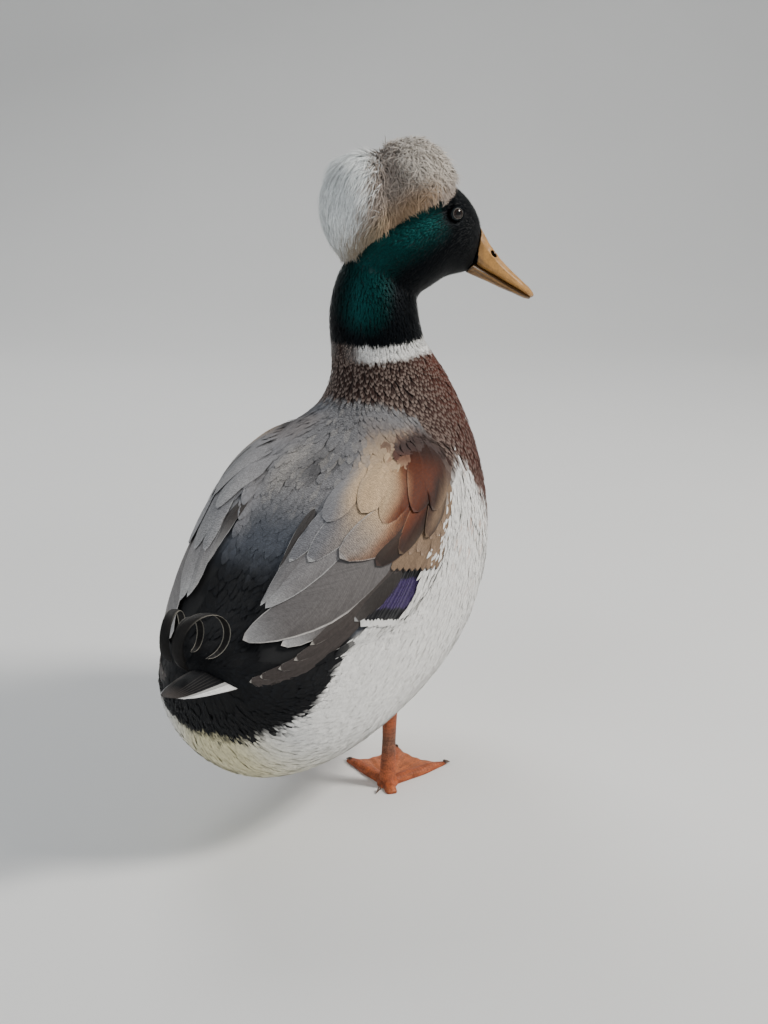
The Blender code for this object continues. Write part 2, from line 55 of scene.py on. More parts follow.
# Stations of the body from tail root to nape: back (x, z), belly (x, z), half width, the level
# of its widest place, and how round its back is. They give each feather its place and angle.
BODY_STATIONS = {
    "tail root end": (-0.1732, 0.1541, -0.1732, 0.1373, 0.0200, 0.60, 1.00),
    "tail root": (-0.1660, 0.1602, -0.1701, 0.1125, 0.0345, 0.55, 1.00),
    "vent": (-0.1534, 0.1694, -0.1576, 0.0800, 0.0495, 0.50, 1.00),
    "rump": (-0.1365, 0.1811, -0.1313, 0.0507, 0.0680, 0.48, 1.00),
    "loin": (-0.1112, 0.2005, -0.0760, 0.0385, 0.0825, 0.46, 0.92),
    "thigh": (-0.0835, 0.2237, -0.0070, 0.0395, 0.0915, 0.46, 0.84),
    "belly": (-0.0578, 0.2423, 0.0640, 0.0500, 0.0965, 0.48, 0.76),
    "back": (-0.0319, 0.2574, 0.1240, 0.0760, 0.0980, 0.50, 0.70),
    "shoulder": (-0.0079, 0.2687, 0.1590, 0.1190, 0.0945, 0.52, 0.70),
    "breast": (0.0106, 0.2785, 0.1760, 0.1690, 0.0855, 0.52, 0.76),
    "upper breast": (0.0227, 0.2867, 0.1780, 0.2200, 0.0720, 0.46, 0.86),
    "neck base": (0.0320, 0.2960, 0.1700, 0.2640, 0.0555, 0.36, 0.98),
    "lower neck": (0.0400, 0.3120, 0.1470, 0.3090, 0.0425, 0.38, 1.00),
    "collar": (0.0400, 0.3345, 0.1200, 0.3370, 0.0362, 0.46, 1.00),
    "neck": (0.0395, 0.3607, 0.1096, 0.3645, 0.0346, 0.50, 1.00),
    "neck top": (0.0450, 0.3908, 0.1100, 0.3870, 0.0287, 0.50, 1.00),
    "nape": (0.0600, 0.4155, 0.1015, 0.4080, 0.0150, 0.50, 1.00),
}
# The head's stations, from its hind end to the bill: forward of the neck's line, and height.
HEAD_STATIONS = {
    "hind end": (-0.0154, 0.4210, -0.0174, 0.4055, 0.0097, 0.50, 1.00),
    "occiput": (-0.0097, 0.4345, -0.0136, 0.3910, 0.0213, 0.50, 1.00),
    "hind crown": (0.0077, 0.4500, 0.0039, 0.3785, 0.0295, 0.50, 1.00),
    "ear": (0.0290, 0.4586, 0.0232, 0.3717, 0.0318, 0.46, 1.00),
    "cheek": (0.0483, 0.4611, 0.0406, 0.3776, 0.0304, 0.46, 1.00),
    "eye": (0.0647, 0.4572, 0.0540, 0.3862, 0.0265, 0.48, 1.00),
    "lore": (0.0763, 0.4456, 0.0647, 0.3892, 0.0217, 0.50, 1.00),
    "forehead": (0.0828, 0.4335, 0.0724, 0.3905, 0.0159, 0.50, 1.00),
    "bill base": (0.0848, 0.4262, 0.0768, 0.3925, 0.0106, 0.50, 1.00),
}
NECK_LINE = 0.0748
HEAD_TURN = math.radians(-52)
EYE_FORWARD = 0.0599
EYE_HEIGHT = 0.4384

eye_spots = {side: sum(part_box("eye_" + side), Vector()) / 2 for side in ("left", "right")}
head_way = np.array([math.cos(HEAD_TURN), math.sin(HEAD_TURN), 0.0])
head_left = np.array([-math.sin(HEAD_TURN), math.cos(HEAD_TURN), 0.0])
UP = np.array([0.0, 0.0, 1.0])
# The stations are given from the right foot. This is where that lies in the frame.
ground = np.array((eye_spots["left"] + eye_spots["right"]) / 2)
ground = ground - EYE_FORWARD * head_way - np.array([NECK_LINE, 0, EYE_HEIGHT])
head_origin = ground + np.array([NECK_LINE, 0, 0])


def ramp(value, low, high):
    """0 below low, 1 above high and a smooth rise between them."""
    share = np.clip((np.asarray(value, float) - low) / (high - low), 0, 1)
    return share * share * (3 - 2 * share)


def unit(vectors):
    """Vectors brought to length 1."""
    return vectors / np.maximum(np.linalg.norm(vectors, axis=-1, keepdims=True), 1e-12)


def oval_point(stations, place, angle):
    """Points of a body given by stations, at fractional places and angles from the back."""
    rows = np.array(list(stations.values()))
    last = len(rows) - 1
    place = np.clip(np.asarray(place, float), 0, last)
    i = np.minimum(place.astype(int), last - 1)
    t = (place - i)[..., None]
    here, there = rows[i], rows[i + 1]
    before = np.where((i > 0)[..., None], rows[np.maximum(i - 1, 0)], 2 * here - there)
    after = np.where((i + 2 <= last)[..., None], rows[np.minimum(i + 2, last)], 2 * there - here)
    row = ((2 * t**3 - 3 * t**2 + 1) * here + (t**3 - 2 * t**2 + t) * (there - before) / 2
           + (3 * t**2 - 2 * t**3) * there + (t**3 - t**2) * (after - here) / 2)
    back, belly = row[..., 0:2], row[..., 2:4]
    centre = belly + row[..., 5:6] * (back - belly)
    rise = np.cos(angle)
    side = np.sin(angle)
    reach = np.where((rise > 0)[..., None], back - centre, centre - belly)
    side = np.where(rise > 0, np.sign(side) * np.abs(side) ** row[..., 6], side)
    level = centre + rise[..., None] * reach
    return np.stack([level[..., 0], -row[..., 4] * side, level[..., 1]], -1)


def body_point(place, angle):
    """Points of trunk and neck, out to the tips of the feathers."""
    return oval_point(BODY_STATIONS, place, angle) + ground


def head_point(place, angle):
    """Points of the head, out to the tips of the feathers."""
    flat = oval_point(HEAD_STATIONS, place, angle)
    return (flat[..., 0:1] * head_way + flat[..., 1:2] * head_left + flat[..., 2:3] * UP
            + head_origin)


def to_head(points):
    """Points as forward, left and up from the head's own zero."""
    off = points - head_origin
    return np.stack([off @ head_way, off @ head_left, off[..., 2]], -1)


CHART_PLACES = 10               # grid lines of a chart for each station
CHART_STEP = math.radians(5)
CHART_NUDGE = 0.01


def chart_of(point_at, last):
    """A grid over a body, by which any point near it can be given its place and angle."""
    place, angle = np.meshgrid(np.linspace(0, last, last * CHART_PLACES + 1),
                               np.arange(-math.pi, math.pi, CHART_STEP), indexing="ij")
    place, angle = place.ravel(), angle.ravel()
    points = point_at(place, angle)
    tree = KDTree(len(points))
    for i, point in enumerate(points):
        tree.insert(point, i)
    tree.balance()
    low, high = np.maximum(place - CHART_NUDGE, 0), np.minimum(place + CHART_NUDGE, last)
    along = (point_at(high, angle) - point_at(low, angle)) / (high - low)[:, None]
    around = (point_at(place, angle + CHART_NUDGE) - point_at(place, angle - CHART_NUDGE))
    return {"tree": tree, "place": place, "angle": angle, "points": points,
            "along": along, "around": around / (2 * CHART_NUDGE), "last": last}


def read_chart(chart, points):
    """Place, angle in degrees and distance from the charted body, for each point."""
    nearest = np.array([chart["tree"].find(point)[1] for point in points])
    off = points - chart["points"][nearest]
    along, around = chart["along"][nearest], chart["around"][nearest]
    aa, bb = (along**2).sum(1), (around**2).sum(1)
    ab = (along * around).sum(1)
    oa, ob = (off * along).sum(1), (off * around).sum(1)
    scale = np.maximum(aa * bb - ab**2, 1e-14)
    step = np.clip((oa * bb - ob * ab) / scale, -1 / CHART_PLACES, 1 / CHART_PLACES)
    turn = np.clip((ob * aa - oa * ab) / scale, -CHART_STEP, CHART_STEP)
    place = np.clip(chart["place"][nearest] + step, 0, chart["last"])
    angle = np.degrees(chart["angle"][nearest] + turn)
    left_over = off - step[:, None] * along - turn[:, None] * around
    return place, (angle + 180) % 360 - 180, np.linalg.norm(left_over, axis=1)


body_chart = chart_of(body_point, len(BODY_STATIONS) - 1)
head_chart = chart_of(head_point, len(HEAD_STATIONS) - 1)

FLESH = ("trunk", "neck", "head", "crest", "wing_left", "wing_right")
SKIN_GRID = 0.0022              # size of the skin's faces
SKIN_JOIN = 0.0006              # the solids swell this much, so that they run into each other
WELD = 1e-6                     # corners as near as this are one
SMOOTHING = 6


def swollen(node, distance):
    """A CAD node's mesh with its corners joined, grown outwards by a distance."""
    shape = bmesh.new()
    shape.from_mesh(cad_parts[node].data)
    bmesh.ops.remove_doubles(shape, verts=shape.verts, dist=WELD)
    shape.normal_update()
    for corner in shape.verts:
        corner.co += corner.normal * distance
    mesh = bpy.data.meshes.new(node + "_swollen")
    shape.to_mesh(mesh)
    shape.free()
    return mesh


def gridded(name, grid, solids):
    """Closed solids rebuilt together as one even grid of faces."""
    shape = bmesh.new()
    for solid in solids:
        shape.from_mesh(solid)
        bpy.data.meshes.remove(solid)
    rough = bpy.data.meshes.new(name)
    shape.to_mesh(rough)
    shape.free()
    thing = bpy.data.objects.new(name, rough)
    bpy.context.scene.collection.objects.link(thing)
    remesh = thing.modifiers.new("grid", "REMESH")
    remesh.mode = "VOXEL"
    remesh.voxel_size = grid
    bpy.context.view_layer.update()
    graph = bpy.context.evaluated_depsgraph_get()
    mesh = bpy.data.meshes.new_from_object(thing.evaluated_get(graph))
    bpy.data.objects.remove(thing)
    bpy.data.meshes.remove(rough)
    return mesh


def points_of(mesh):
    """The corners of a mesh as an array."""
    flat = np.empty(len(mesh.vertices) * 3)
    mesh.vertices.foreach_get("co", flat)
    return flat.reshape(-1, 3)


def put_points(mesh, points):
    """Move the corners of a mesh."""
    mesh.vertices.foreach_set("co", np.asarray(points, np.float32).ravel())
    mesh.update()


def normals_of(mesh):
    """Outward directions at the corners of a mesh."""
    flat = np.empty(len(mesh.vertices) * 3)
    mesh.vertex_normals.foreach_get("vector", flat)
    return flat.reshape(-1, 3)


def relax(mesh, rounds, share=1.0):
    """Smooth a mesh by drawing each corner half way to the middle of its neighbours."""
    edges = np.empty(len(mesh.edges) * 2, np.int64)
    mesh.edges.foreach_get("vertices", edges)
    ends = np.concatenate([edges.reshape(-1, 2), edges.reshape(-1, 2)[:, ::-1]])
    points = points_of(mesh)
    count = np.bincount(ends[:, 0], minlength=len(points))[:, None]
    for _ in range(rounds):
        around = np.stack([np.bincount(ends[:, 0], points[ends[:, 1], axis], len(points))
                           for axis in range(3)], 1)
        points = points + share * (around / count - points) / 2
    put_points(mesh, points)


def tree_of(mesh):
    """A search tree over a mesh's faces."""
    return BVHTree.FromPolygons(points_of(mesh).tolist(), [tuple(p.vertices) for p in mesh.polygons])


def make_piece(name, mesh, finish, slot, *nodes):
    """An object that rides on the bird, wears its finish and stands for CAD nodes. Its slot is not used."""
    mesh.materials.clear()
    mesh.materials.append(finish)
    mesh.shade_smooth()
    piece = bpy.data.objects.new(name, mesh)
    bpy.context.scene.collection.objects.link(piece)
    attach(piece, "root")
    if nodes:
        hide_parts(*nodes)
    return piece


flesh = [swollen(node, SKIN_JOIN) for node in FLESH]
node_trees = {node: tree_of(solid) for node, solid in zip(FLESH, flesh)}
skin_mesh = gridded("skin", SKIN_GRID, flesh)
relax(skin_mesh, SMOOTHING)


def nearest_flesh(points):
    """Which of the flesh nodes each point is nearest to."""
    far = np.array([[node_trees[node].find_nearest(point)[3] for node in FLESH]
                    for point in points.tolist()])
    return np.array(FLESH)[far.argmin(1)]


# The line at which the crest's down starts on the head: its height for places forward.
RIM_LINE = {-0.0300: 0.3970, -0.0167: 0.4079, -0.0075: 0.4180, 0.0036: 0.4263, 0.0132: 0.4314,
            0.0231: 0.4386, 0.0348: 0.4441, 0.0454: 0.4489, 0.0588: 0.4573, 0.0600: 0.4750}
CREST_FRONT = 0.050


def above_rim(points):
    """How far points lie above the line at which the crest's down starts."""
    local = to_head(points)
    return local[:, 2] - np.interp(local[:, 0], list(RIM_LINE), list(RIM_LINE.values()))


def spots_at(points):
    """Where points lie on the bird: node, place and angle on the body and on the head."""
    place, angle, off = read_chart(body_chart, points)
    head_place, head_angle, head_off = read_chart(head_chart, points)
    node = nearest_flesh(points)
    upper = np.isin(node, ("crest", "head"))
    downy = upper & (above_rim(points) > 0)
    downy |= (node == "crest") & (to_head(points)[:, 0] > CREST_FRONT)
    return {"point": points, "node": node, "place": place, "angle": angle, "side": abs(angle),
            "off": off, "head_place": head_place, "head_side": abs(head_angle),
            "head_angle": head_angle, "head_off": head_off, "head": upper & ~downy,
            "crest": downy, "wing": np.char.startswith(node, "wing")}


BODY_DEPTH = 0.0023             # depth of the plumage over the skin
NECK_DEPTH = 0.0015
FACE_DEPTH = 0.0009
CREST_DEPTH = 0.0030

skin_spots = spots_at(points_of(skin_mesh))
throat = np.exp(-((skin_spots["off"] + skin_spots["head_off"]) / 0.012) ** 2)
throat *= np.isin(skin_spots["node"], ("head", "neck"))
relax(skin_mesh, 14, throat[:, None])
depth = BODY_DEPTH + (NECK_DEPTH - BODY_DEPTH) * ramp(skin_spots["place"], 10.5, 13)
face = skin_spots["head"] * ramp(skin_spots["head_place"], 4.5, 7)
depth = np.where(skin_spots["head"], NECK_DEPTH + (FACE_DEPTH - NECK_DEPTH) * face, depth)
clear_of_head = np.minimum(skin_spots["off"], skin_spots["head_off"])
crest_share = skin_spots["crest"] * ramp(clear_of_head, 0.004, 0.014)
depth = depth + (CREST_DEPTH - depth) * crest_share
depth = depth + 0.0028 * crest_share * ramp(to_head(skin_spots["point"])[:, 0], 0.034, 0.050)
put_points(skin_mesh, points_of(skin_mesh) - normals_of(skin_mesh) * depth[:, None])
relax(skin_mesh, 3)
# Smoothing has drawn the narrow face in too far. It is brought out to its depth again.
points = points_of(skin_mesh)
found = [node_trees["head"].find_nearest(point) for point in points.tolist()]
sunk = -np.array([(Vector(point) - near[0]).dot(near[1]) for point, near in zip(points, found)])
too_deep = np.clip(sunk - SKIN_JOIN - FACE_DEPTH, 0, 0.004)
too_deep *= skin_spots["head"] * ramp(skin_spots["head_place"], 3.5, 5.5)
put_points(skin_mesh, points + normals_of(skin_mesh) * too_deep[:, None])
relax(skin_mesh, 1)
skin_tree = tree_of(skin_mesh)

WHITE = (0.80, 0.79, 0.765)
CREAM = (0.62, 0.57, 0.36)
GREY = (0.200, 0.198, 0.205)
SLATE = (0.070, 0.079, 0.098)
BLACK = (0.0045, 0.0048, 0.0058)
CHESTNUT = (0.080, 0.019, 0.011)
UMBER = (0.028, 0.014, 0.011)
FLECK = (0.26, 0.20, 0.17)
# GREEN and TEAL are the hood's iridescence, painted into its colour as a sheen.
GREEN = (0.0020, 0.024, 0.023)
TEAL = (0.0018, 0.054, 0.052)
INK = (0.0016, 0.0028, 0.0042)
STAIN = (0.40, 0.20, 0.11)
BUFF = (0.57, 0.405, 0.245)
RUST = (0.110, 0.027, 0.010)
MAROON = (0.036, 0.015, 0.010)
TAUPE = (0.230, 0.155, 0.100)
BROWN = (0.085, 0.052, 0.038)

# Lines between the markings: places along the body for angles down from the back.
BLACK_LINE = {0: 4.3, 12: 4.4, 25: 4.4, 50: 4.5, 60: 4.1, 66: 3.7, 76: 3.25, 86: 2.78,
              102: 2.25, 129: 1.80, 160: 1.60, 180: 1.50}
CHEST_LINE = {0: 10.95, 21: 11.10, 48: 10.70, 54: 10.0, 57: 8.30, 62: 8.75, 66: 9.10, 71: 9.50,
              81: 9.33, 88: 8.98, 101: 8.78, 140: 8.15, 180: 7.95}
RING_LOW = 12.70
RING_HIGH = 13.17
RING_GAP = -20                  # angle at which the ring is open, turned with the neck
# Angle down to which the grey of the back reaches, for places along the body.
MANTLE_EDGE = {3: 40, 4.3: 42, 4.8: 60, 6: 62, 9: 63, 10: 66, 11: 68}
# Angle down to which the wing lies open to view, above the flank's feathers.
WING_EDGE = {4.2: 59, 4.85: 61, 5.1: 68, 5.3: 69, 5.73: 66, 6.25: 61, 6.95: 57.5, 7.93: 56.5, 8.85: 58}


# Lines between the scapulars' colours, as angles for places along the body. On the left wing,
# which is folded less tightly, the same markings lie further out.
BUFF_FROM = {4.5: 30, 6.0: 23, 7.0: 16, 8.85: 13, 9.5: 22, 10.0: 40}
RUST_FROM = {4.5: 44, 6.0: 39, 7.0: 37, 8.2: 30, 8.9: 27, 9.6: 34, 10.0: 45}
RUST_TO = {4.5: 47, 5.9: 48, 6.85: 50, 7.8: 52, 8.95: 57, 9.6: 52}
LEFT_PALER = 26


def line_at(line, value):
    """A marking's line read at any value."""
    return np.interp(value, list(line), list(line.values()))


# The hood's painted sheen: where it gleams most, from the ear down the neck, it is painted green and teal.
# Points are forward and up.
PAINTED_SHEEN_LINE = ((0.036, 0.432), (0.0183, 0.4204), (0.0038, 0.413), (-0.0085, 0.394), (-0.0118, 0.368))


def off_line(places, line):
    """Distance of flat places from a broken line."""
    nearest = np.full(len(places), np.inf)
    for start, end in zip(np.array(line), np.array(line)[1:]):
        share = np.clip((places - start) @ (end - start) / ((end - start) ** 2).sum(), 0, 1)
        off = places - start - share[:, None] * (end - start)
        nearest = np.minimum(nearest, np.hypot(off[:, 0], off[:, 1]))
    return nearest


def tinted(colour, share, new):
    """Colours brought part of the way to a new one."""
    return colour + np.asarray(share, float)[..., None] * (np.asarray(new) - colour)


def eye_distance(points):
    """How far points lie from the nearer eye."""
    return np.min([np.linalg.norm(points - np.array(spot), axis=1)
                   for spot in eye_spots.values()], axis=0)


def scapular_colour(place, angle):
    """Colour of the scapulars: grey by the back, then buff, rust and brown."""
    rust = ramp(angle - line_at(RUST_FROM, place), -6, 3)
    upper = ramp(place, 7.9, 8.9)
    margin = ramp(angle - line_at(RUST_TO, place), -8, -4) * (1 - upper)
    low = (1 - ramp(place, 5.2, 6.4)) * (1 - rust)
    outer = tinted(np.array(TAUPE), ramp(place, 7.4, 8.8), BROWN)
    colour = tinted(np.array(GREY), ramp(angle - line_at(BUFF_FROM, place), -6, 6), BUFF)
    colour = tinted(colour, rust, 0.5 * (np.array(RUST) + (0.42, 0.150, 0.055)))
    colour = tinted(colour, rust**3, RUST)
    colour = tinted(colour, upper * rust, MAROON)
    colour = tinted(colour, 0.85 * margin * rust, (0.024, 0.015, 0.012))
    colour = tinted(colour, ramp(angle - line_at(RUST_TO, place), -3, 3), outer)
    colour = tinted(colour, 0.75 * low, (0.195, 0.195, 0.21))
    return tinted(colour, 0.55 * upper * (1 - rust), (0.16, 0.130, 0.115))


def plumage(spots, ragged=0.0, lot=0.5):
    """Colour of the plumage, colour and strength of the feathers' rims, and pencilling. ragged
    shifts a feather's markings a little and lot picks out the odd blotched or stained one."""
    count = len(spots["place"])
    place, side = spots["place"], spots["side"]
    colour = np.tile(WHITE, (count, 1))
    rim = np.tile(WHITE, (count, 1))
    rim_share = np.full(count, 0.25)
    pencilled = 0.22 * (1 - ramp(side, 75, 105)) * np.ones(count)

    def paint(share, new, new_rim=None, new_share=None, new_pencil=None):
        nonlocal colour, rim, rim_share, pencilled
        share = np.asarray(share, float)
        colour = tinted(colour, share, new)
        rim = tinted(rim, share, new if new_rim is None else new_rim)
        rim_share += share * ((0.2 if new_share is None else new_share) - rim_share)
        pencilled += share * ((0.0 if new_pencil is None else new_pencil) - pencilled)

    paint(ramp(side, 105, 165) * (1 - ramp(place, 2.6, 4.6)), CREAM)
    chest = ramp(place - line_at(CHEST_LINE, side) + 0.10 * ragged, -0.12, 0.12)
    mantle = (1 - ramp(side - line_at(MANTLE_EDGE, place), -2, 2)) * (1 - chest)
    open_wing = 1 - ramp(side - line_at(WING_EDGE, place), -2, 2)
    mantle = np.where(spots["wing"], (1 - chest) * open_wing, mantle)
    paint(mantle, GREY, (0.30, 0.295, 0.30), 0.06, 0.95)
    # Painted shade: the left side of the back is painted darker and bluer, as that wing lies in shade.
    paint(0.60 * mantle * ramp(-spots["angle"], 10, 24), (0.105, 0.115, 0.140), None, 0.1, 0.8)
    # Painted light: a pale warm patch on the middle of the back stands for the sun falling on it.
    painted_sunlight = np.exp(-((spots["angle"] + 6) / 6) ** 2) * ramp(place, 6.1, 6.6)
    paint(0.50 * mantle * painted_sunlight * (1 - ramp(place, 7.8, 8.5)), (0.42, 0.385, 0.34), None, 0.1, 0.9)
    # Painted shade: two narrow dark lines down the back stand for the shadowed gaps beside the scapulars'
    # inner edge.
    painted_shadow_lines = np.exp(-((spots["angle"] - 0.5) / 1.6) ** 2) * ramp(place, 6.6, 6.9)
    painted_shadow_lines += np.exp(-((spots["angle"] - 5.5) / 1.6) ** 2) * ramp(place, 6.9, 7.3)
    paint(0.70 * mantle * painted_shadow_lines * (1 - ramp(place, 7.6, 8.2)), (0.045, 0.045, 0.050), None, 0.1, 0.8)
    paint(0.30 * mantle * (lot < 0.14), (0.075, 0.072, 0.075), None, None, 0.7)
    paint(0.25 * mantle * (lot > 0.88), (0.40, 0.370, 0.33), None, None, 0.7)
    reach = side - np.where(spots["angle"] < 0, LEFT_PALER, 0) + 1.2 * ragged
    shoulder = mantle * ramp(side, 6, 16) * ramp(place, 4.6, 5.2) * (1 - ramp(place, 9.8, 10.6))
    paint(0.85 * shoulder, scapular_colour(place, reach))
    brownish = shoulder * ramp(reach - line_at(RUST_FROM, place), -2, 2)
    rim_share += 0.40 * brownish * ramp(place, 8.0, 8.8)
    pencilled -= 0.50 * brownish
    blotch = brownish * (lot > 0.62) * ramp(reach - line_at(RUST_TO, place), -11, -3)
    paint(0.75 * blotch, (0.035, 0.022, 0.018))
    paint(mantle * (1 - ramp(place, 5.0, 6.2)) * (1 - shoulder), SLATE, (0.15, 0.165, 0.19), 0.25, 0.7)
    fade = np.interp(side, [0, 30, 60, 70], [0.50, 0.40, 0.15, 0.04])
    black = 1 - ramp((place - line_at(BLACK_LINE, side) + 0.06 * ragged) / fade, -1, 1)
    paint(black, BLACK, (0.010, 0.012, 0.016), 0.3)
    stained = (ramp(side, 68, 75) * (1 - ramp(side, 95, 110)) * (lot < 0.10)
               * ramp(place, 6.3, 7.5) * (1 - chest))
    paint(0.5 * stained, STAIN)
    paint(chest, np.array(UMBER) + ramp(side, 45, 115)[:, None] * (np.array(CHESTNUT) - UMBER),
          FLECK, 0.62 - 0.42 * ramp(side, 50, 125), 0.15)
    ring = np.interp(abs(spots["angle"] - RING_GAP), [0, 22, 36, 48], [0.0, 0.12, 0.85, 1.0])
    ring = (ring * ramp(place + 0.04 * ragged, RING_LOW - 0.05, RING_LOW + 0.05)
            * ~spots["head"] * ~spots["crest"])
    paint(ring, WHITE, WHITE, 0.5)
    hooded = spots["head"] | (place > RING_HIGH)
    paint(hooded, INK, INK, 0.35)
    # Painted sheen: the hood is ink, painted green along the sheen line and teal at its brightest middle.
    painted_sheen = off_line(to_head(spots["point"])[:, [0, 2]], PAINTED_SHEEN_LINE)
    paint((1 - ramp(painted_sheen, 0.008, 0.025)) * hooded, GREEN, TEAL, 0.5)
    paint(0.75 * (1 - ramp(painted_sheen, 0.002, 0.013)) * hooded, TEAL, TEAL, 0.5)
    by_eye = 1 - ramp(eye_distance(spots["point"]), 0.008, 0.016)
    paint(by_eye * hooded, INK, INK, 0.0)
    return colour, rim, rim_share, pencilled


def crest_colour(spots, ragged=0.0):
    """White behind, grey in the middle, buff in front and tan along the rim. ragged shifts
    each tuft's colours."""
    local = to_head(spots["point"])
    forward, up = local[:, 0] + 0.0042 * ragged, local[:, 2]
    colour = np.tile((0.80, 0.83, 0.82), (len(forward), 1))
    grey = ramp(forward - 0.30 * (up - 0.461), -0.014, -0.002)
    colour = tinted(colour, grey, (0.330, 0.275, 0.235))
    front = ramp(forward, 0.008, 0.022) * ramp(up, 0.450, 0.470)
    colour = tinted(colour, front, (0.52, 0.475, 0.42))
    swirl = np.exp(-((np.hypot(forward - 0.010, up - 0.452) - 0.016) / 0.0035) ** 2)
    swirl = swirl * ramp(forward, 0.010, 0.018) * (1 - ramp(up, 0.470, 0.480))
    colour = tinted(colour, 0.65 * swirl, (0.110, 0.072, 0.050))
    near = 1 - ramp(above_rim(spots["point"]), 0.008, 0.026)
    tan = near * ramp(forward, -0.014, 0.004) * (1 - ramp(forward, 0.034, 0.048))
    colour = tinted(colour, 0.75 * tan, (0.36, 0.235, 0.135))
    olive = near * ramp(forward, -0.030, -0.018) * (1 - ramp(forward, -0.004, 0.010))
    return tinted(colour, 0.65 * olive, (0.23, 0.185, 0.115))


def put_colour(mesh, name, values):
    """Store a colour for each corner of a mesh."""
    stored = mesh.attributes.new(name, "FLOAT_COLOR", "POINT")
    full = np.ones((len(mesh.vertices), 4), np.float32)
    full[:, :values.shape[1]] = values
    stored.data.foreach_set("color", full.ravel())


def put_number(mesh, name, values):
    """Store a number for each corner of a mesh."""
    stored = mesh.attributes.new(name, "FLOAT", "POINT")
    stored.data.foreach_set("value", np.asarray(values, np.float32))


def put_map(mesh, name, places):
    """Store a UV map given by a place for each corner of a mesh."""
    layer = mesh.uv_layers.new(name=name)
    corner = np.empty(len(mesh.loops), np.int64)
    mesh.loops.foreach_get("vertex_index", corner)
    layer.uv.foreach_set("vector", np.asarray(places, np.float32)[corner].ravel())


def new_finish(name, roughness, **sockets):
    """An empty Principled finish, and a quick way to add nodes to it."""
    finish = bpy.data.materials.new(name)
    finish.use_nodes = True
    tree = finish.node_tree
    shader = tree.nodes["Principled BSDF"]
    shader.inputs["Roughness"].default_value = roughness
    for socket, value in sockets.items():
        shader.inputs[socket.replace("_", " ")].default_value = value

    def add(kind, *wires, **settings):
        node = tree.nodes.new("ShaderNode" + kind)
        for key, value in settings.items():
            if hasattr(node, key):
                setattr(node, key, value)
            else:
                node.inputs[key.replace("_", " ")].default_value = value
        for i, wire in enumerate(wires):
            if isinstance(wire, (int, float)):
                node.inputs[i].default_value = wire
            elif wire is not None:
                tree.links.new(wire, node.inputs[i])
        return node.outputs[0]

    def join(wire, socket):
        tree.links.new(wire, shader.inputs[socket])
    return finish, add, join


def maths(add, operation, *wires):
    """One Math node."""
    return add("Math", *wires, operation=operation)


def mixed(add, share, first, second, blend="MIX"):
    """One Mix node for colours."""
    node = add("Mix", data_type="RGBA", blend_type=blend).node
    links = node.id_data.links
    for socket, value in ((node.inputs[0], share), (node.inputs[6], first), (node.inputs[7], second)):
        if isinstance(value, bpy.types.NodeSocket):
            links.new(value, socket)
        else:
            socket.default_value = value if socket.type == "VALUE" else (*value, 1.0)
    return node.outputs[2]


def stepped(add, value, low, high, out_low=0.0, out_high=1.0):
    """One smooth Map Range node."""
    return add("MapRange", value, low, high, out_low, out_high, interpolation_type="SMOOTHSTEP")


def grained(add, scale, **settings):
    """One Noise node in the piece's own space."""
    return add("TexNoise", add("TexCoord").node.outputs["Object"], Scale=scale, **settings)


skin_finish, add, join = new_finish("skin under the plumage", 0.85)
skin_colour = add("Attribute", attribute_name="plumage")
shade = stepped(add, grained(add, 500.0, Detail=3.0), 0.3, 0.7, 0.75, 1.0)
join(mixed(add, 1.0, skin_colour, shade, "MULTIPLY"), "Base Color")

skin_spots = spots_at(points_of(skin_mesh))
skin_colours = plumage(skin_spots)[0]
skin_colours[skin_spots["crest"]] = crest_colour(skin_spots)[skin_spots["crest"]]
put_colour(skin_mesh, "plumage", skin_colours)
make_piece("skin", skin_mesh, skin_finish, "body_plumage", *FLESH)

# --------------------------------------------------------------------------- small feathers
# The contour feathers of head, neck, breast, belly, back and rump. Each is a thin closed vane
# rooted in the skin and laid tailwards over the ones behind it.

VANE_UV = "vane"
BAKE_UV = "OFBake"
BAKE_PATCH = 0.003


def strewn(mesh, spacing_at, keep, seed):
    """Points spread evenly over a mesh, each as far from the next as spacing_at says."""
    rng = np.random.default_rng(seed)
    points = points_of(mesh)
    mesh.calc_loop_triangles()
    corners = np.empty(len(mesh.loop_triangles) * 3, np.int64)
    mesh.loop_triangles.foreach_get("vertices", corners)
    corners = corners.reshape(-1, 3)
    kept = keep[corners].all(1)
    corners = corners[kept]
    a, b, c = points[corners[:, 0]], points[corners[:, 1]], points[corners[:, 2]]
    area = np.linalg.norm(np.cross(b - a, c - a), axis=1) / 2
    gap = spacing_at[corners].mean(1)
    expected = 6 * area / gap**2
    count = np.floor(expected + rng.random(len(expected))).astype(int)
    face = np.repeat(np.arange(len(count)), count)
    u, v = rng.random((2, len(face)))
    flip = u + v > 1
    u, v = np.where(flip, 1 - u, u), np.where(flip, 1 - v, v)
    tries = a[face] + u[:, None] * (b - a)[face] + v[:, None] * (c - a)[face]
    gap = gap[face]
    tree = KDTree(len(tries))
    for i, point in enumerate(tries):
        tree.insert(point, i)
    tree.balance()
    free = np.ones(len(tries), bool)
    chosen = []
    for i in rng.permutation(len(tries)):
        if free[i]:
            chosen.append(i)
            free[[found[1] for found in tree.find_range(tries[i], gap[i])]] = False
    return tries[chosen]


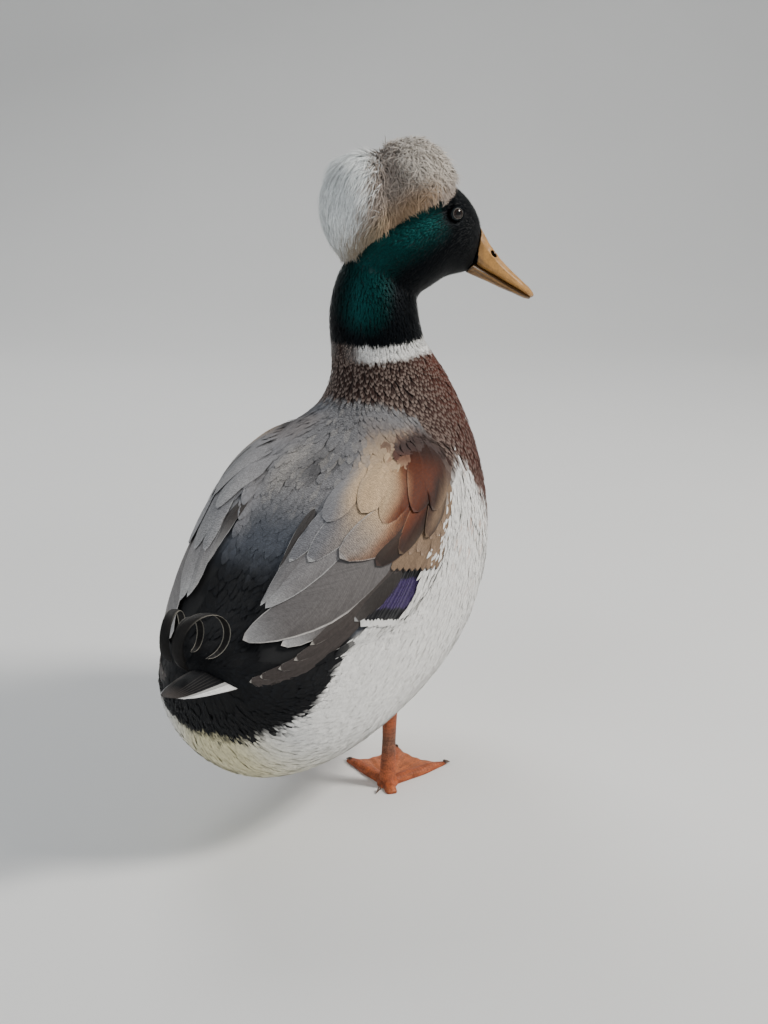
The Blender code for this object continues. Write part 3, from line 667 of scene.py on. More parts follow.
def tailward(spots):
    """The direction in which the coat lies at each spot."""
    ways = []
    for key, point_at, last in (("", body_point, body_chart["last"]),
                                ("head_", head_point, head_chart["last"])):
        place = spots[key + "place"]
        angle = np.radians(spots[key + "angle"])
        low, high = np.maximum(place - 0.1, 0), np.minimum(place + 0.1, last)
        ways.append(unit(point_at(low, angle) - point_at(high, angle)))
    down = ramp(spots["head_side"], 40, 110)[:, None] * np.array([0, 0, -0.75])
    on_head = ramp(spots["off"] - spots["head_off"], -0.004, 0.006) * (spots["head"] | spots["crest"])
    return unit(ways[0] * (1 - on_head[:, None]) + (ways[1] + down) * on_head[:, None])


def settle(points, tree):
    """The nearest points of a surface, and its outward directions there."""
    flat = np.asarray(points).reshape(-1, 3)
    found = [tree.find_nearest(point) for point in flat.tolist()]
    on, out = np.array([f[0] for f in found]), np.array([f[1] for f in found])
    return on.reshape(np.shape(points)), out.reshape(np.shape(points))


def mesh_of(name, points, triangles):
    """A mesh from arrays of corners and triangles."""
    mesh = bpy.data.meshes.new(name)
    mesh.vertices.add(len(points))
    mesh.vertices.foreach_set("co", np.asarray(points, np.float32).ravel())
    mesh.loops.add(len(triangles) * 3)
    mesh.loops.foreach_set("vertex_index", np.asarray(triangles, np.int32).ravel())
    mesh.polygons.add(len(triangles))
    mesh.polygons.foreach_set("loop_start", np.arange(0, 3 * len(triangles), 3, dtype=np.int32))
    mesh.update(calc_edges=True)
    return mesh


def closed_vanes(name, roots, grid, tips, local, colours, cells, mirrored=False):
    """Closed vanes as one mesh. grid holds rings of corners for each; local is the place of
    every corner on its vane and cells the middle and size of each vane's patch to bake."""
    count, rings, ring = grid.shape[:3]
    per = rings * ring + 2
    points = np.concatenate([roots[:, None], grid.reshape(count, -1, 3), tips[:, None]], 1)
    faces = []
    for j in range(ring):
        k = (j + 1) % ring
        faces.append((0, 1 + j, 1 + k))
        for i in range(rings - 1):
            a, b = 1 + i * ring + j, 1 + i * ring + k
            faces += [(a, b + ring, b), (a, a + ring, b + ring)]
        end = 1 + (rings - 1) * ring
        faces.append((end + k, end + j, per - 1))
    faces = np.array(faces)[:, ::-1] if mirrored else np.array(faces)
    every = (faces[None] + (np.arange(count) * per)[:, None, None]).reshape(-1, 3)
    mesh = mesh_of(name, points.reshape(-1, 3), every)
    centre, size = cells
    put_map(mesh, VANE_UV, np.tile(local, (count, 1)))
    put_map(mesh, BAKE_UV, (centre[:, None] + size * (local - 0.5)[None]).reshape(-1, 2))
    colour, rim, rim_share, pencilled = (
        np.broadcast_to(values if values.ndim == 3 else values.reshape(count, 1, -1),
                        (count, per, 3 if values.ndim > 1 else 1)) for values in colours)
    put_colour(mesh, "plumage", colour.reshape(-1, 3))
    put_colour(mesh, "rim", np.concatenate([rim, rim_share], 2).reshape(-1, 4))
    put_number(mesh, "pencilling", pencilled.ravel())
    outline = (local[:, 0] < 1e-6) | (local[:, 0] > 1 - 1e-6) | (local[:, 1] % 1 == 0)
    edges = np.empty(len(mesh.edges) * 2, np.int64)
    mesh.edges.foreach_get("vertices", edges)
    sharp = np.tile(outline, count)[edges.reshape(-1, 2)].all(1)
    mesh.attributes.new("sharp_edge", "BOOLEAN", "EDGE").data.foreach_set("value", sharp)
    return mesh


def ring_places(rings):
    """Where the root, the rings and the tip of a slim vane lie along it."""
    return np.concatenate([[0], (np.arange(rings) + 0.55) / rings, [1]])


def vane_places(across, along):
    """The place on its vane of every corner, from the root through the rings to the tip."""
    rings = np.stack(np.meshgrid((across + 1) / 2, along[1:-1]), -1).reshape(-1, 2)
    return np.concatenate([[[0.5, 0.0]], rings, [[0.5, 1.0]]])


def flat_cells(count, wide=1):
    """Middle and size of a cell of its own for each vane of a piece to bake."""
    columns = math.ceil(math.sqrt(wide * count))
    lines = math.ceil(count / columns)
    i = np.arange(count)
    centre = np.stack([(i % columns + 0.5) / columns, (i // columns + 0.5) / lines], 1)
    return centre, np.array([0.9 / columns, 0.9 / lines])


def slim_vanes(name, middle, out, halves, camber, shape, columns, colours, cells, ragged, seed):
    """Thin vanes along middle lines, flat underneath: halves is each one's half width."""
    rng = np.random.default_rng(seed)
    count, rings = middle.shape[0], middle.shape[1] - 2
    t = ring_places(rings)
    forward = unit(np.gradient(middle, axis=1))
    out = unit(out - (out * forward).sum(-1, keepdims=True) * forward)
    across = np.cross(out, forward)[:, 1:-1, None]
    half = (halves[:, None] * shape(t))[:, 1:-1, None, None]
    s = np.linspace(-1, 1, columns + 1)
    lag = rng.normal(0, ragged, (count, rings, columns + 1, 1))
    grid = (middle[:, 1:-1, None] + across * half * s[:, None]
            + out[:, 1:-1, None] * camber * half * (1 - s[:, None]**2)
            + forward[:, 1:-1, None] * lag * half)
    return closed_vanes(name, middle[:, 0], grid, middle[:, -1], vane_places(s, t), colours, cells)


def leaf(widest, fullness):
    """A vane's width along it: none at either end, 1 at its widest place."""
    power = math.log(0.5) / math.log(widest)
    return lambda t: np.sin(math.pi * np.clip(t, 0, 1) ** power) ** fullness


def feather_finish(name, roughness, sheen, barbs, fine, rim_from=0.72, border=0.72,
                   sides=(0.25, 0.6), **sockets):
    """Finish of a vane: barbs that leave a shaft, a rim, pencilling and a fine grain. sides says
    how far along the vane its rim starts."""
    finish, add, join = new_finish(name, roughness, Sheen_Weight=sheen, Sheen_Roughness=0.45, **sockets)
    place = add("SeparateXYZ", add("UVMap", uv_map=VANE_UV)).node
    across, along = place.outputs[0], place.outputs[1]
    from_shaft = maths(add, "ABSOLUTE", maths(add, "MULTIPLY_ADD", across, 2.0, -1.0))
    tip = stepped(add, along, rim_from, 0.5 + 0.5 * rim_from)
    edge = maths(add, "MULTIPLY", stepped(add, from_shaft, border, 0.97), stepped(add, along, *sides))
    rim = add("Attribute", attribute_name="rim").node
    rim_share = maths(add, "MULTIPLY", maths(add, "MAXIMUM", tip, edge), rim.outputs["Alpha"])
    plain = add("Attribute", attribute_name="plumage")
    colour = mixed(add, rim_share, plain, rim.outputs["Color"])
    where = add("TexCoord").node.outputs["Object"]
    swept = maths(add, "MULTIPLY", maths(add, "MULTIPLY_ADD", from_shaft, -0.25, along), float(barbs))
    side_by_side = maths(add, "MULTIPLY", across, 2.0)
    level = add("SeparateXYZ", where).node.outputs[2]
    woven = add("CombineXYZ", side_by_side, swept, maths(add, "MULTIPLY", level, 60.0))
    barb = add("TexNoise", woven, Scale=1.0, Detail=2.0)
    grain = add("TexNoise", where, Scale=420.0, Detail=4.0)
    uneven = stepped(add, grain, 0.25, 0.75, 0.88, 1.10)
    combed = stepped(add, barb, 0.3, 0.7, 1 - fine, 1 + fine)
    colour = mixed(add, 1.0, colour, maths(add, "MULTIPLY", uneven, combed), "MULTIPLY")
    waves = add("TexWave", where, Scale=240.0, Distortion=9.0, Detail=3.0, Detail_Scale=2.2)
    pencil = add("Attribute", attribute_name="pencilling").node.outputs["Fac"]
    inked = maths(add, "MULTIPLY", stepped(add, waves.node.outputs["Fac"], 0.35, 0.75), pencil)
    colour = mixed(add, maths(add, "MULTIPLY", inked, 0.62), colour, (0.035, 0.034, 0.036))
    join(colour, "Base Color")
    bump = add("Bump", Strength=0.3, Distance=0.0003).node
    bump.id_data.links.new(maths(add, "ADD", barb, grain), bump.inputs["Height"])
    join(bump.outputs[0], "Normal")
    return finish


def picked(spots, chosen):
    """The chosen ones of a set of spots."""
    return {key: values[chosen] for key, values in spots.items()}


def coat(name, slot, finish, spots, unwrap, length, half, lift, rings, columns, shape, stray,
         camber, ragged, seed, bed=skin_tree, least_side=0):
    """A piece of coat: one vane at each spot, laid along the skin with its tip lifted. Its
    markings are those of the places that it covers, never nearer the back than least_side."""
    rng = np.random.default_rng(seed)
    roots, out = settle(spots["point"], bed)
    way = tailward(spots)
    way = unit(way - (way * out).sum(1, keepdims=True) * out)
    way = unit(way + np.cross(out, way) * rng.normal(0, stray, (len(way), 1)))
    length = length * rng.normal(1, 0.10, len(way))
    half = half * rng.normal(1, 0.08, len(way))
    low, high = lift
    high = high * rng.normal(1, 0.12, len(way))
    middle, middle_out = settle(roots + way * length[:, None] * 0.5, bed)
    tips, tip_out = settle(roots + way * length[:, None], bed)
    low = low * np.ones(len(way))
    lines = np.stack([roots + out * low[:, None],
                      middle + middle_out * (low + 0.7 * (high - low))[:, None],
                      tips + tip_out * high[:, None]], 1)
    t = ring_places(rings)
    weights = np.stack([(1 - t) * (1 - 2 * t), 4 * t * (1 - t), t * (2 * t - 1)], 1)
    middles = np.einsum("rk,nkx->nrx", weights, lines)
    outs = out[:, None] * (1 - t)[:, None] + tip_out[:, None] * t[:, None]
    ragged_by, lot = rng.normal(0, 1, len(way)), rng.random(len(way))
    tones = []
    for covered in (middle, tips):
        seen = spots_at(covered)
        seen["side"] = np.maximum(seen["side"], least_side)
        seen["wing"] = seen["wing"] & (least_side == 0)
        tones.append(plumage(seen, ragged_by, lot))
    late = np.concatenate([[0], np.repeat(t[1:-1], columns + 1), [1]])
    late = np.clip(2 * late - 1, 0, 1)[:, None]
    colour = tones[0][0][:, None] * (1 - late) + tones[1][0][:, None] * late
    colours = (colour * rng.normal(1, 0.035, (len(way), 1, 1)), *tones[1][1:])
    mesh = slim_vanes(name, middles, outs, half, camber, shape, columns, colours,
                      (unwrap(spots), BAKE_PATCH), ragged, seed)
    return make_piece(name, mesh, finish, slot)


def laid_out(key, first, last):
    """A function that lays spots out flat, between two stations of the body or the head."""
    def unwrap(spots):
        share = np.clip((spots[key + "place"] - first) / (last - first), 0, 1)
        return 0.01 + 0.98 * np.stack([(spots[key + "angle"] + 180) / 360, share], 1)
    return unwrap


NECK_FROM = 12.4                # place at which the neck's own layout starts
body_unwrap = laid_out("", 0, body_chart["last"])
head_unwrap = laid_out("head_", 0, head_chart["last"])
neck_unwrap = laid_out("", NECK_FROM, body_chart["last"])

place, side, wing = skin_spots["place"], skin_spots["side"], skin_spots["wing"]
on_head, on_crest = skin_spots["head"], skin_spots["crest"]
hood_finish = feather_finish("green hood plumage", 0.48, 0.0, 14, 0.40, Metallic=0.65,
                             Specular_IOR_Level=0.14)
BARE_BY_EYE = 0.0046            # no feather starts nearer an eye's middle than this
face_near = ramp(skin_spots["head_place"], 3.5, 7)
head_spots = spots_at(strewn(skin_mesh, 0.00150 - 0.00045 * face_near, on_head, 11))
head_spots = picked(head_spots, eye_distance(head_spots["point"]) > BARE_BY_EYE)
small = 1 - 0.60 * ramp(head_spots["head_place"], 2.6, 6.6)
coat("head_feathers", "head_plumage", hood_finish, head_spots, head_unwrap, 0.0050 * small,
     0.00085 * (0.3 + 0.7 * small), (0.0001, 0.0011 * (0.25 + 0.75 * small)), 3, 2, leaf(0.52, 0.85),
     0.12, 0.10, 0.05, 12)
neck_area = ~on_head & ~on_crest & (place > RING_HIGH - 0.35)
neck_spots = spots_at(strewn(skin_mesh, np.full(len(place), 0.0017), neck_area, 14))
coat("neck_feathers", "head_plumage", hood_finish, neck_spots, neck_unwrap, 0.0066, 0.00100,
     (0.0001, 0.0014), 3, 2, leaf(0.52, 0.85), 0.12, 0.10, 0.05, 15)

clear_of_wing = ~wing | (side > line_at(WING_EDGE, place))
breast_area = ~on_head & ~on_crest & clear_of_wing & (place < RING_HIGH - 0.1) & (
    place > np.interp(side, [0, 52, 56, 62, 70, 180], [10.0, 9.9, 8.3, 8.3, 8.5, 7.2]))
breast_gap = np.interp(place, [7, 10.5, 12, 13.3], [0.0032, 0.0028, 0.0024, 0.0020])
breast = spots_at(strewn(skin_mesh, breast_gap, breast_area, 21))
breast_finish = feather_finish("chestnut breast plumage", 0.66, 0.03, 14, 0.20, 0.60,
                               Specular_IOR_Level=0.10)
breast_size = np.interp(breast["place"], [8, 10.5, 12, 13.3], [1.0, 0.82, 0.62, 0.50])
coat("breast_feathers", "body_plumage", breast_finish, breast, body_unwrap, 0.0145 * breast_size,
     0.0023 * breast_size, (0.0002, 0.0020 * (0.4 + 0.6 * breast_size)), 4, 2, leaf(0.58, 0.7),
     0.12, 0.09, 0.06, 22)

black_side = line_at(BLACK_LINE, side)
belly_finish = feather_finish("white belly plumage", 0.70, 0.15, 20, 0.06, 0.75,
                              Specular_IOR_Level=0.25)
belly_area = (~on_head & ~on_crest & clear_of_wing & (place > black_side - 0.25) & (place < 9.9)
              & (side > np.interp(place, [8.1, 8.5, 9.0, 9.9], [52, 60, 66, 72])))
by_black = 1 - ramp(abs(place - black_side), 0.20, 0.60)
for piece, area, gap in (("flank", side < 112, 0.0025), ("belly", side >= 112, 0.0029)):
    spots = spots_at(strewn(skin_mesh, gap - 0.0008 * by_black, belly_area & area, 31))
    spots = picked(spots, spots["place"] < line_at(CHEST_LINE, spots["side"]) + 0.4)
    downy = ramp(spots["side"], 110, 150)
    over_wing = (1 - ramp(spots["side"], 68, 80)) * ramp(spots["place"], 4.9, 5.5)
    inner = ramp(spots["place"] - line_at(BLACK_LINE, spots["side"]), 0.0, 0.8)
    coat(piece + "_feathers", "body_plumage", belly_finish, spots, body_unwrap,
         (0.0185 + 0.003 * downy) * (0.45 + 0.55 * inner),
         (0.0020 - 0.0003 * downy) * (0.35 + 0.65 * inner), (0.0002, 0.0013 + 0.0016 * over_wing),
         4, 2, leaf(0.50, 0.8), 0.08, 0.07, 0.08, 32, least_side=66)

rump_area = ~on_head & ~on_crest & ~wing & (place < black_side + 0.3)
rump = spots_at(strewn(skin_mesh, 0.0034 - 0.0012 * by_black * (side > 66), rump_area, 41))
rump_finish = feather_finish("black rump plumage", 0.60, 0.0, 20, 0.20, 0.75,
                             Specular_IOR_Level=0.16)
fine = 1 - ramp(abs(rump["place"] - line_at(BLACK_LINE, rump["side"])), 0.20, 0.60)
fine *= rump["side"] > 66
coat("rump_feathers", "body_plumage", rump_finish, rump, body_unwrap, 0.0205 - 0.0080 * fine,
     0.0029 - 0.0016 * fine, (0.0002, 0.0018), 5, 2, leaf(0.54, 0.7), 0.10, 0.08, 0.06, 42)

# Tailward end of the small scapulars and coverts, as places for angles from the back.
SHOULDER_LINE = {10: 5.2, 14: 5.9, 17: 6.1, 25: 6.5, 33: 6.9, 41: 7.3, 47: 7.5, 54: 7.7, 70: 8.0}


def shoulder_share(place, side):
    """How far the feathers at a spot are scapulars, which are longer and broader."""
    return ramp(side, 12, 20) * ramp(place, 5.0, 6.0) * (1 - ramp(place, 8.8, 9.8))


back_area = (~on_head & ~on_crest & (place > 4.1) & (place < 11.3)
             & np.where(wing, place > line_at(SHOULDER_LINE, side), side < 66))
back = spots_at(strewn(skin_mesh, 0.0034 + 0.0010 * shoulder_share(place, side), back_area, 51))
back_finish = feather_finish("grey back plumage", 0.68, 0.05, 24, 0.14, 0.78,
                             Specular_IOR_Level=0.10)
broader = shoulder_share(back["place"], back["side"])
coat("back_feathers", "body_plumage", back_finish, back, body_unwrap, 0.0205 + 0.0105 * broader,
     0.0028 + 0.0020 * broader, (0.0002, 0.0014 + 0.0010 * broader), 5, 3, leaf(0.56, 0.65), 0.08,
     0.06, 0.05, 52)

# ------------------------------------------------------------------------------------- wings
# The folded wings: flight feathers, tertials, coverts and the scapulars that hang over them.
# Each is a stiff vane on a raised shaft, laid like a tile from the wing's tip upwards.

bed_mesh = skin_mesh.copy()
relax(bed_mesh, 30)
bed_tree = tree_of(bed_mesh)
bpy.data.meshes.remove(bed_mesh)

ACROSS = np.array([-1.0, -0.9, -0.5, -0.07, 0.0, 0.07, 0.5, 0.9, 1.0])
QUILL_RINGS = 12
VANE_THICKNESS = 0.0003
SHAFT_HEIGHT = 0.0003
DEGREE = 0.0015                 # length of a degree around the wing

# Kinds of feather: width at which place and how full, colour, colour and share of the outer
# vane's edge, colour and share of the tip, rim and its share, and pencilling.
DUSK = (0.052, 0.043, 0.040)
TERTIAL = (0.150, 0.139, 0.137)
PALE = (0.50, 0.495, 0.49)
SOOT = (0.022, 0.018, 0.017)
VIOLET = (0.055, 0.034, 0.155)
KINDS = {
    "primary": (0.40, 0.40, DUSK, DUSK, 0.0, DUSK, 0.0, (0.45, 0.42, 0.38), 0.7, 0.0),
    "secondary": (0.60, 0.08, VIOLET, VIOLET, 0.0, VIOLET, 0.0, WHITE, 0.0, 0.0),
    "tertial": (0.42, 0.62, TERTIAL, (0.085, 0.076, 0.073), 0.6, PALE, 0.8, (0.60, 0.57, 0.54), 0.8, 0.25),
    "inner tertial": (0.45, 0.60, (0.225, 0.215, 0.215), TERTIAL, 0.6, PALE, 0.6, PALE, 0.7, 0.4),
    "brown scapular": (0.52, 0.55, (0.045, 0.028, 0.021), SOOT, 0.6, SOOT, 0.5, (0.10, 0.06, 0.05), 0.4, 0.2),
    "dark tertial": (0.42, 0.60, (0.040, 0.035, 0.033), SOOT, 0.6, (0.09, 0.08, 0.075), 0.5, PALE, 0.7, 0.1),
    "covert": (0.62, 0.45, TAUPE, BROWN, 0.3, (0.36, 0.255, 0.18), 0.4, (0.42, 0.31, 0.23), 0.5, 0.45),
    "barred covert": (0.62, 0.42, TAUPE, TAUPE, 0.0, SOOT, 0.0, SOOT, 0.95, 0.35),
    "scapular": (0.56, 0.55, None, None, 0.0, None, 0.0, PALE, 0.05, 0.6),
    "grey scapular": (0.56, 0.55, None, (0.15, 0.145, 0.15), 0.3, None, 0.0, PALE, 0.7, 0.75),
    "shade scapular": (0.56, 0.55, None, (0.20, 0.115, 0.072), 0.75, None, 0.0, PALE, 0.4, 0.75),
    "rust scapular": (0.56, 0.52, None, SOOT, 0.75, (0.045, 0.026, 0.02), 0.7, BUFF, 0.15, 0.35),
}


def tiles(kind, tips, reach, turn, half, low, high):
    """Rows of equal feathers: tips as (place, angle), and how far back each one's root is."""
    return [(place + reach, angle - turn, place, angle, half, low, high, kind)
            for place, angle in tips]


MM = 0.001
PRIMARIES = []
for i, (tip_place, tip_angle, bow) in enumerate(((1.07, 70, -4.5), (1.60, 60, -2.5), (2.33, 53, -1),
                                                 (2.85, 50.5, 0), (3.33, 48, 0))):
    PRIMARIES.append((tip_place + 3.2, 54 - 0.8 * i, tip_place, tip_angle, (6.2 - 0.2 * i) * MM,
                      (0.8 + 0.25 * i) * MM, (2.4 + 0.30 * i) * MM, "primary", bow))
SECONDARIES = []
for i in range(13):
    angle = 56 + 1.15 * i
    SECONDARIES.append((6.25 + 0.048 * (angle - 56), angle - 7.5 - 0.5 * (angle - 56),
                        4.35 + 0.052 * (angle - 56), angle, 4.0 * MM, 0.8 * MM,
                        (2.9 - 0.06 * i) * MM, "secondary"))
WING = tiles("barred covert", [(5.55 + 0.054 * (a - 52), a) for a in np.arange(50, 65.5, 1.9)],
             1.5, 4, 4.0 * MM, 1.2 * MM, 3.3 * MM)
for step, shift, last in ((0.5, 0.6, 62), (0.95, 1.7, 60), (1.4, 0.4, 59)):
    WING += tiles("covert", [(5.60 + step + 0.050 * (a - 53) + 0.06 * math.sin(7 * a), a)
                             for a in np.arange(50.5 + shift, last, 2.2)],
                  1.35, 3, 4.3 * MM, 1.2 * MM, (3.3 + 0.2 * step) * MM)
WING += [
    (6.0, 50, 4.30, 52.0, 11.0 * MM, 1.3 * MM, 3.1 * MM, "dark tertial"),
    (6.1, 46, 2.80, 40.5, 12.0 * MM, 1.5 * MM, 3.4 * MM, "tertial"),
    (6.3, 43, 2.12, 22.5, 17.5 * MM, 2.3 * MM, 4.7 * MM, "tertial", 5.0),
    (6.0, 29, 3.30, 21.0, 10.5 * MM, 2.7 * MM, 5.2 * MM, "inner tertial"),
    (5.9, 17, 3.32, 17.5, 7.0 * MM, 2.8 * MM, 5.4 * MM, "inner tertial"),
    (5.9, 9, 4.10, 14.0, 5.0 * MM, 2.2 * MM, 4.6 * MM, "dark tertial"),
    (7.6, 44, 5.28, 43.5, 11.5 * MM, 1.4 * MM, 5.2 * MM, "brown scapular"),
    (7.0, 20, 4.42, 16.5, 8.5 * MM, 1.4 * MM, 5.3 * MM, "grey scapular"),
    (7.2, 27, 4.55, 23.5, 11.0 * MM, 1.4 * MM, 5.5 * MM, "grey scapular"),
    (7.6, 43, 4.92, 32.0, 15.5 * MM, 1.4 * MM, 5.8 * MM, "shade scapular", 1.5),
]
WING += tiles("rust scapular", [(5.80, 47.5), (6.50, 52.0)], 2.2, 4, 8.5 * MM, 1.4 * MM, 5.2 * MM)
WING += tiles("scapular", [(5.50, 19.5), (6.05, 27.5), (6.10, 36.0), (6.75, 42.5), (7.1, 48.5)],
              2.2, 4, 11.5 * MM, 1.4 * MM, 5.2 * MM)

# How many degrees further out the left wing's feathers lie.
LEFT_OPENS = {2.1: 22, 3.65: 9, 4.75: 8, 6.2: 5, 7.5: 0}


def laid_vanes(name, slot, finish, rows, sign, seed):
    """Stiff vanes laid on one side of the body, as rows of the wing's table say."""
    rng = np.random.default_rng(seed)
    numbers = np.array([row[:7] for row in rows])
    root_place, root_angle, tip_place, tip_angle, half, low, high = numbers.T[:, :, None]
    kinds = [KINDS[row[7]] for row in rows]
    widest = np.array([kind[0] for kind in kinds])[:, None]
    fullness = np.array([kind[1] for kind in kinds])[:, None]
    t = np.concatenate([[0], (np.arange(QUILL_RINGS) + 0.62) / (QUILL_RINGS + 0.1), [1]])
    place = root_place + (tip_place - root_place) * t
    bows = np.array([row[8] if len(row) > 8 else 0.0 for row in rows])[:, None]
    angle = root_angle + (tip_angle - root_angle) * t + rng.normal(0, 0.25, root_angle.shape)
    angle = angle + bows * np.sin(math.pi * t)
    opened = line_at(LEFT_OPENS, place) if sign < 0 else 0.0
    middle = body_point(place, np.radians(sign * (angle + opened)))
    base, out = settle(middle, bed_tree)
    forward = unit(np.gradient(base, axis=1))
    across = unit(np.cross(out, forward)) * sign
    width = half * np.sin(math.pi * t ** (math.log(0.5) / np.log(widest))) ** fullness
    inner = slice(1, -1)
    s = ACROSS[:, None]
    notches = rng.random((len(rows), QUILL_RINGS, 2)) < 0.05
    worn = 1 - notches * rng.uniform(0.05, 0.16, notches.shape)
    reach = np.ones((len(rows), QUILL_RINGS, len(ACROSS), 1))
    reach[:, :, 0, 0], reach[:, :, -1, 0] = worn[:, :, 0], worn[:, :, 1]
    flat = base[:, inner, None] + across[:, inner, None] * width[:, inner, None, None] * s * reach
    bed, up = settle(flat, bed_tree)
    height = (low + (high - low) * t)[:, inner, None, None]
    dome = 1 - s**2
    shaft = SHAFT_HEIGHT * (np.abs(s) < 0.01) * (1 - 0.8 * t[inner])[None, :, None, None]
    top = bed + up * (height + 0.07 * width[:, inner, None, None] * dome + shaft)
    under = top - up * (VANE_THICKNESS * dome)
    grid = np.concatenate([top, under[:, :, -2:0:-1]], 2)
    roots = base[:, 0] + out[:, 0] * low
    tips = base[:, -1] + out[:, -1] * high
    around = np.concatenate([ACROSS, ACROSS[-2:0:-1]])
    whole_s = np.concatenate([[0], np.tile(around, QUILL_RINGS), [0]])
    whole_t = np.concatenate([[0], np.repeat(t[inner], len(around)), [1]])
    whole_width = np.repeat(width[:, inner], len(around), 1)
    whole_width = np.concatenate([width[:, :1], whole_width, width[:, -1:]], 1)
    whole_place = root_place + (tip_place - root_place) * whole_t
    whole_angle = (root_angle + (tip_angle - root_angle) * whole_t + whole_s * whole_width / DEGREE
                   + rng.normal(0, 1.3, root_angle.shape) - (LEFT_PALER if sign < 0 else 0))
    colour = scapular_colour(whole_place, whole_angle)
    for i, kind in enumerate(kinds):
        if kind[2] is not None:
            colour[i] = kind[2]
        if kind[3] is not None:
            share = kind[4] * ramp(whole_s, 0.15, 0.95) * ramp(whole_t, 0.25, 0.6)
            if sign < 0 and kind[2] is None:
                share = 0.3 * share
            colour[i] = tinted(colour[i], share, kind[3])
        if kind[5] is not None:
            colour[i] = tinted(colour[i], kind[6] * ramp(whole_t, 0.72, 1.0), kind[5])
    if sign < 0:
        pale = ramp(whole_t, 0.3, 1.0) * 0.45 * (1 - ramp(numbers[:, 3:4], 46, 52))
        colour = tinted(colour, pale, (0.52, 0.51, 0.50))
    colour *= rng.normal(1, 0.06, (len(rows), 1, 1))
    rim = np.array([kind[7] for kind in kinds])
    rim_share = np.array([kind[8] for kind in kinds])
    pencilled = np.array([kind[9] for kind in kinds])
    mesh = closed_vanes(name, roots, grid, tips, vane_places(around, t),
                        (colour, rim, rim_share, pencilled), flat_cells(len(rows), 2),
                        mirrored=sign < 0)
    return make_piece(name, mesh, finish, slot)


wing_finish = feather_finish("wing plumage", 0.60, 0.03, 60, 0.10, 0.955, 0.90,
                             Specular_IOR_Level=0.12)
speculum_finish, add, join = new_finish("violet speculum", 0.36, Metallic=0.45, Specular_IOR_Level=0.5)
vane_place = add("SeparateXYZ", add("UVMap", uv_map=VANE_UV)).node
vane_along = vane_place.outputs[1]
bright = maths(add, "MULTIPLY", stepped(add, vane_along, 0.48, 0.51),
               stepped(add, vane_along, 0.79, 0.83, 1.0, 0.0))
streaks = add("TexNoise", add("CombineXYZ", maths(add, "MULTIPLY", vane_place.outputs[0], 7.0),
                              maths(add, "MULTIPLY", vane_along, 50.0)), Scale=1.0, Detail=3.0)
violet = mixed(add, stepped(add, streaks, 0.3, 0.7), (0.020, 0.011, 0.050), (0.060, 0.035, 0.130))
bar = mixed(add, bright, (0.006, 0.006, 0.008), violet)
join(mixed(add, stepped(add, vane_along, 0.925, 0.935), bar, WHITE), "Base Color")
flight_finish = feather_finish("flight feathers", 0.58, 0.0, 60, 0.12, 0.965, 0.955,
                               (0.86, 0.95), Specular_IOR_Level=0.2)
for wing_name, sign in (("right", 1), ("left", -1)):
    laid_vanes("primaries_" + wing_name, "wing_plumage", flight_finish, PRIMARIES, sign, 60)
    laid_vanes("speculum_" + wing_name, "wing_plumage", speculum_finish, SECONDARIES, sign, 61)
    laid_vanes("wing_feathers_" + wing_name, "wing_plumage", wing_finish, WING, sign, 62)

# -------------------------------------------------------------------------------------- tail
# The closed tail is a low roof of stiff feathers, white at the sides and black in the middle
# with brownish ends. The drake's curls stand on it: three narrow feathers that roll forward.

TAIL_FEATHERS = 17
TAIL_HALF_SPREAD = 0.0275
TAIL_TIP_SPREAD = 0.0075
TAIL_RINGS = 10
TAIL_COLUMNS = 6

order = np.linspace(-1, 1, TAIL_FEATHERS)
t = ring_places(TAIL_RINGS)[None, :]
spread_y = order[:, None] * (TAIL_HALF_SPREAD * (1 - t**1.5) + TAIL_TIP_SPREAD * t**1.5)
spread_y = 0.0018 + spread_y * np.where(order > 0, 0.68, 1.0)[:, None]
tip_x = -0.2165 + 0.0050 * np.abs(order[:, None]) ** 2
x = -0.1500 + (tip_x + 0.1500) * t
ridge = 0.1478 - 0.0012 * ramp(-x, 0.18, 0.217)
drop = (np.where(order > 0, 0.0095, 0.0056) * np.abs(order) ** 1.3)[:, None] * (1 - 0.85 * t**2)
z = ridge - 0.0040 * (spread_y / 0.035) ** 2 - drop + 0.0016 * np.sin(math.pi * t)
tail_middle = np.stack(np.broadcast_arrays(x, spread_y, z), -1) + ground
tail_out = unit(np.stack(np.broadcast_arrays(0 * x, 0.30 * order[:, None] + 0 * x, 1 + 0 * x), -1))
tail_along = np.concatenate([[0], np.repeat(t[0, 1:-1], TAIL_COLUMNS + 1), [1]])
tail_brown = tinted(np.array(BLACK), ramp(tail_along, 0.75, 0.95), (0.050, 0.042, 0.038))
outer_share = ramp(np.abs(order), 0.70, 0.80)[:, None]
tail_colour = tinted(tail_brown[None], outer_share, WHITE)
tail_rim = np.tile((0.050, 0.045, 0.042), (TAIL_FEATHERS, 1)) + 0.6 * outer_share
tail_finish = feather_finish("tail plumage", 0.58, 0.03, 60, 0.10, 0.94, 0.80,
                             Specular_IOR_Level=0.10)
tail_mesh = slim_vanes("tail_feathers", tail_middle, tail_out, np.full(TAIL_FEATHERS, 0.0056), 0.10,
                       leaf(0.55, 0.42), TAIL_COLUMNS,
                       (tail_colour, tail_rim, 0.8 + 0 * order, 0 * order),
                       flat_cells(TAIL_FEATHERS), 0.03, 71)
make_piece("tail_feathers", tail_mesh, tail_finish, "tail_plumage", "tail")

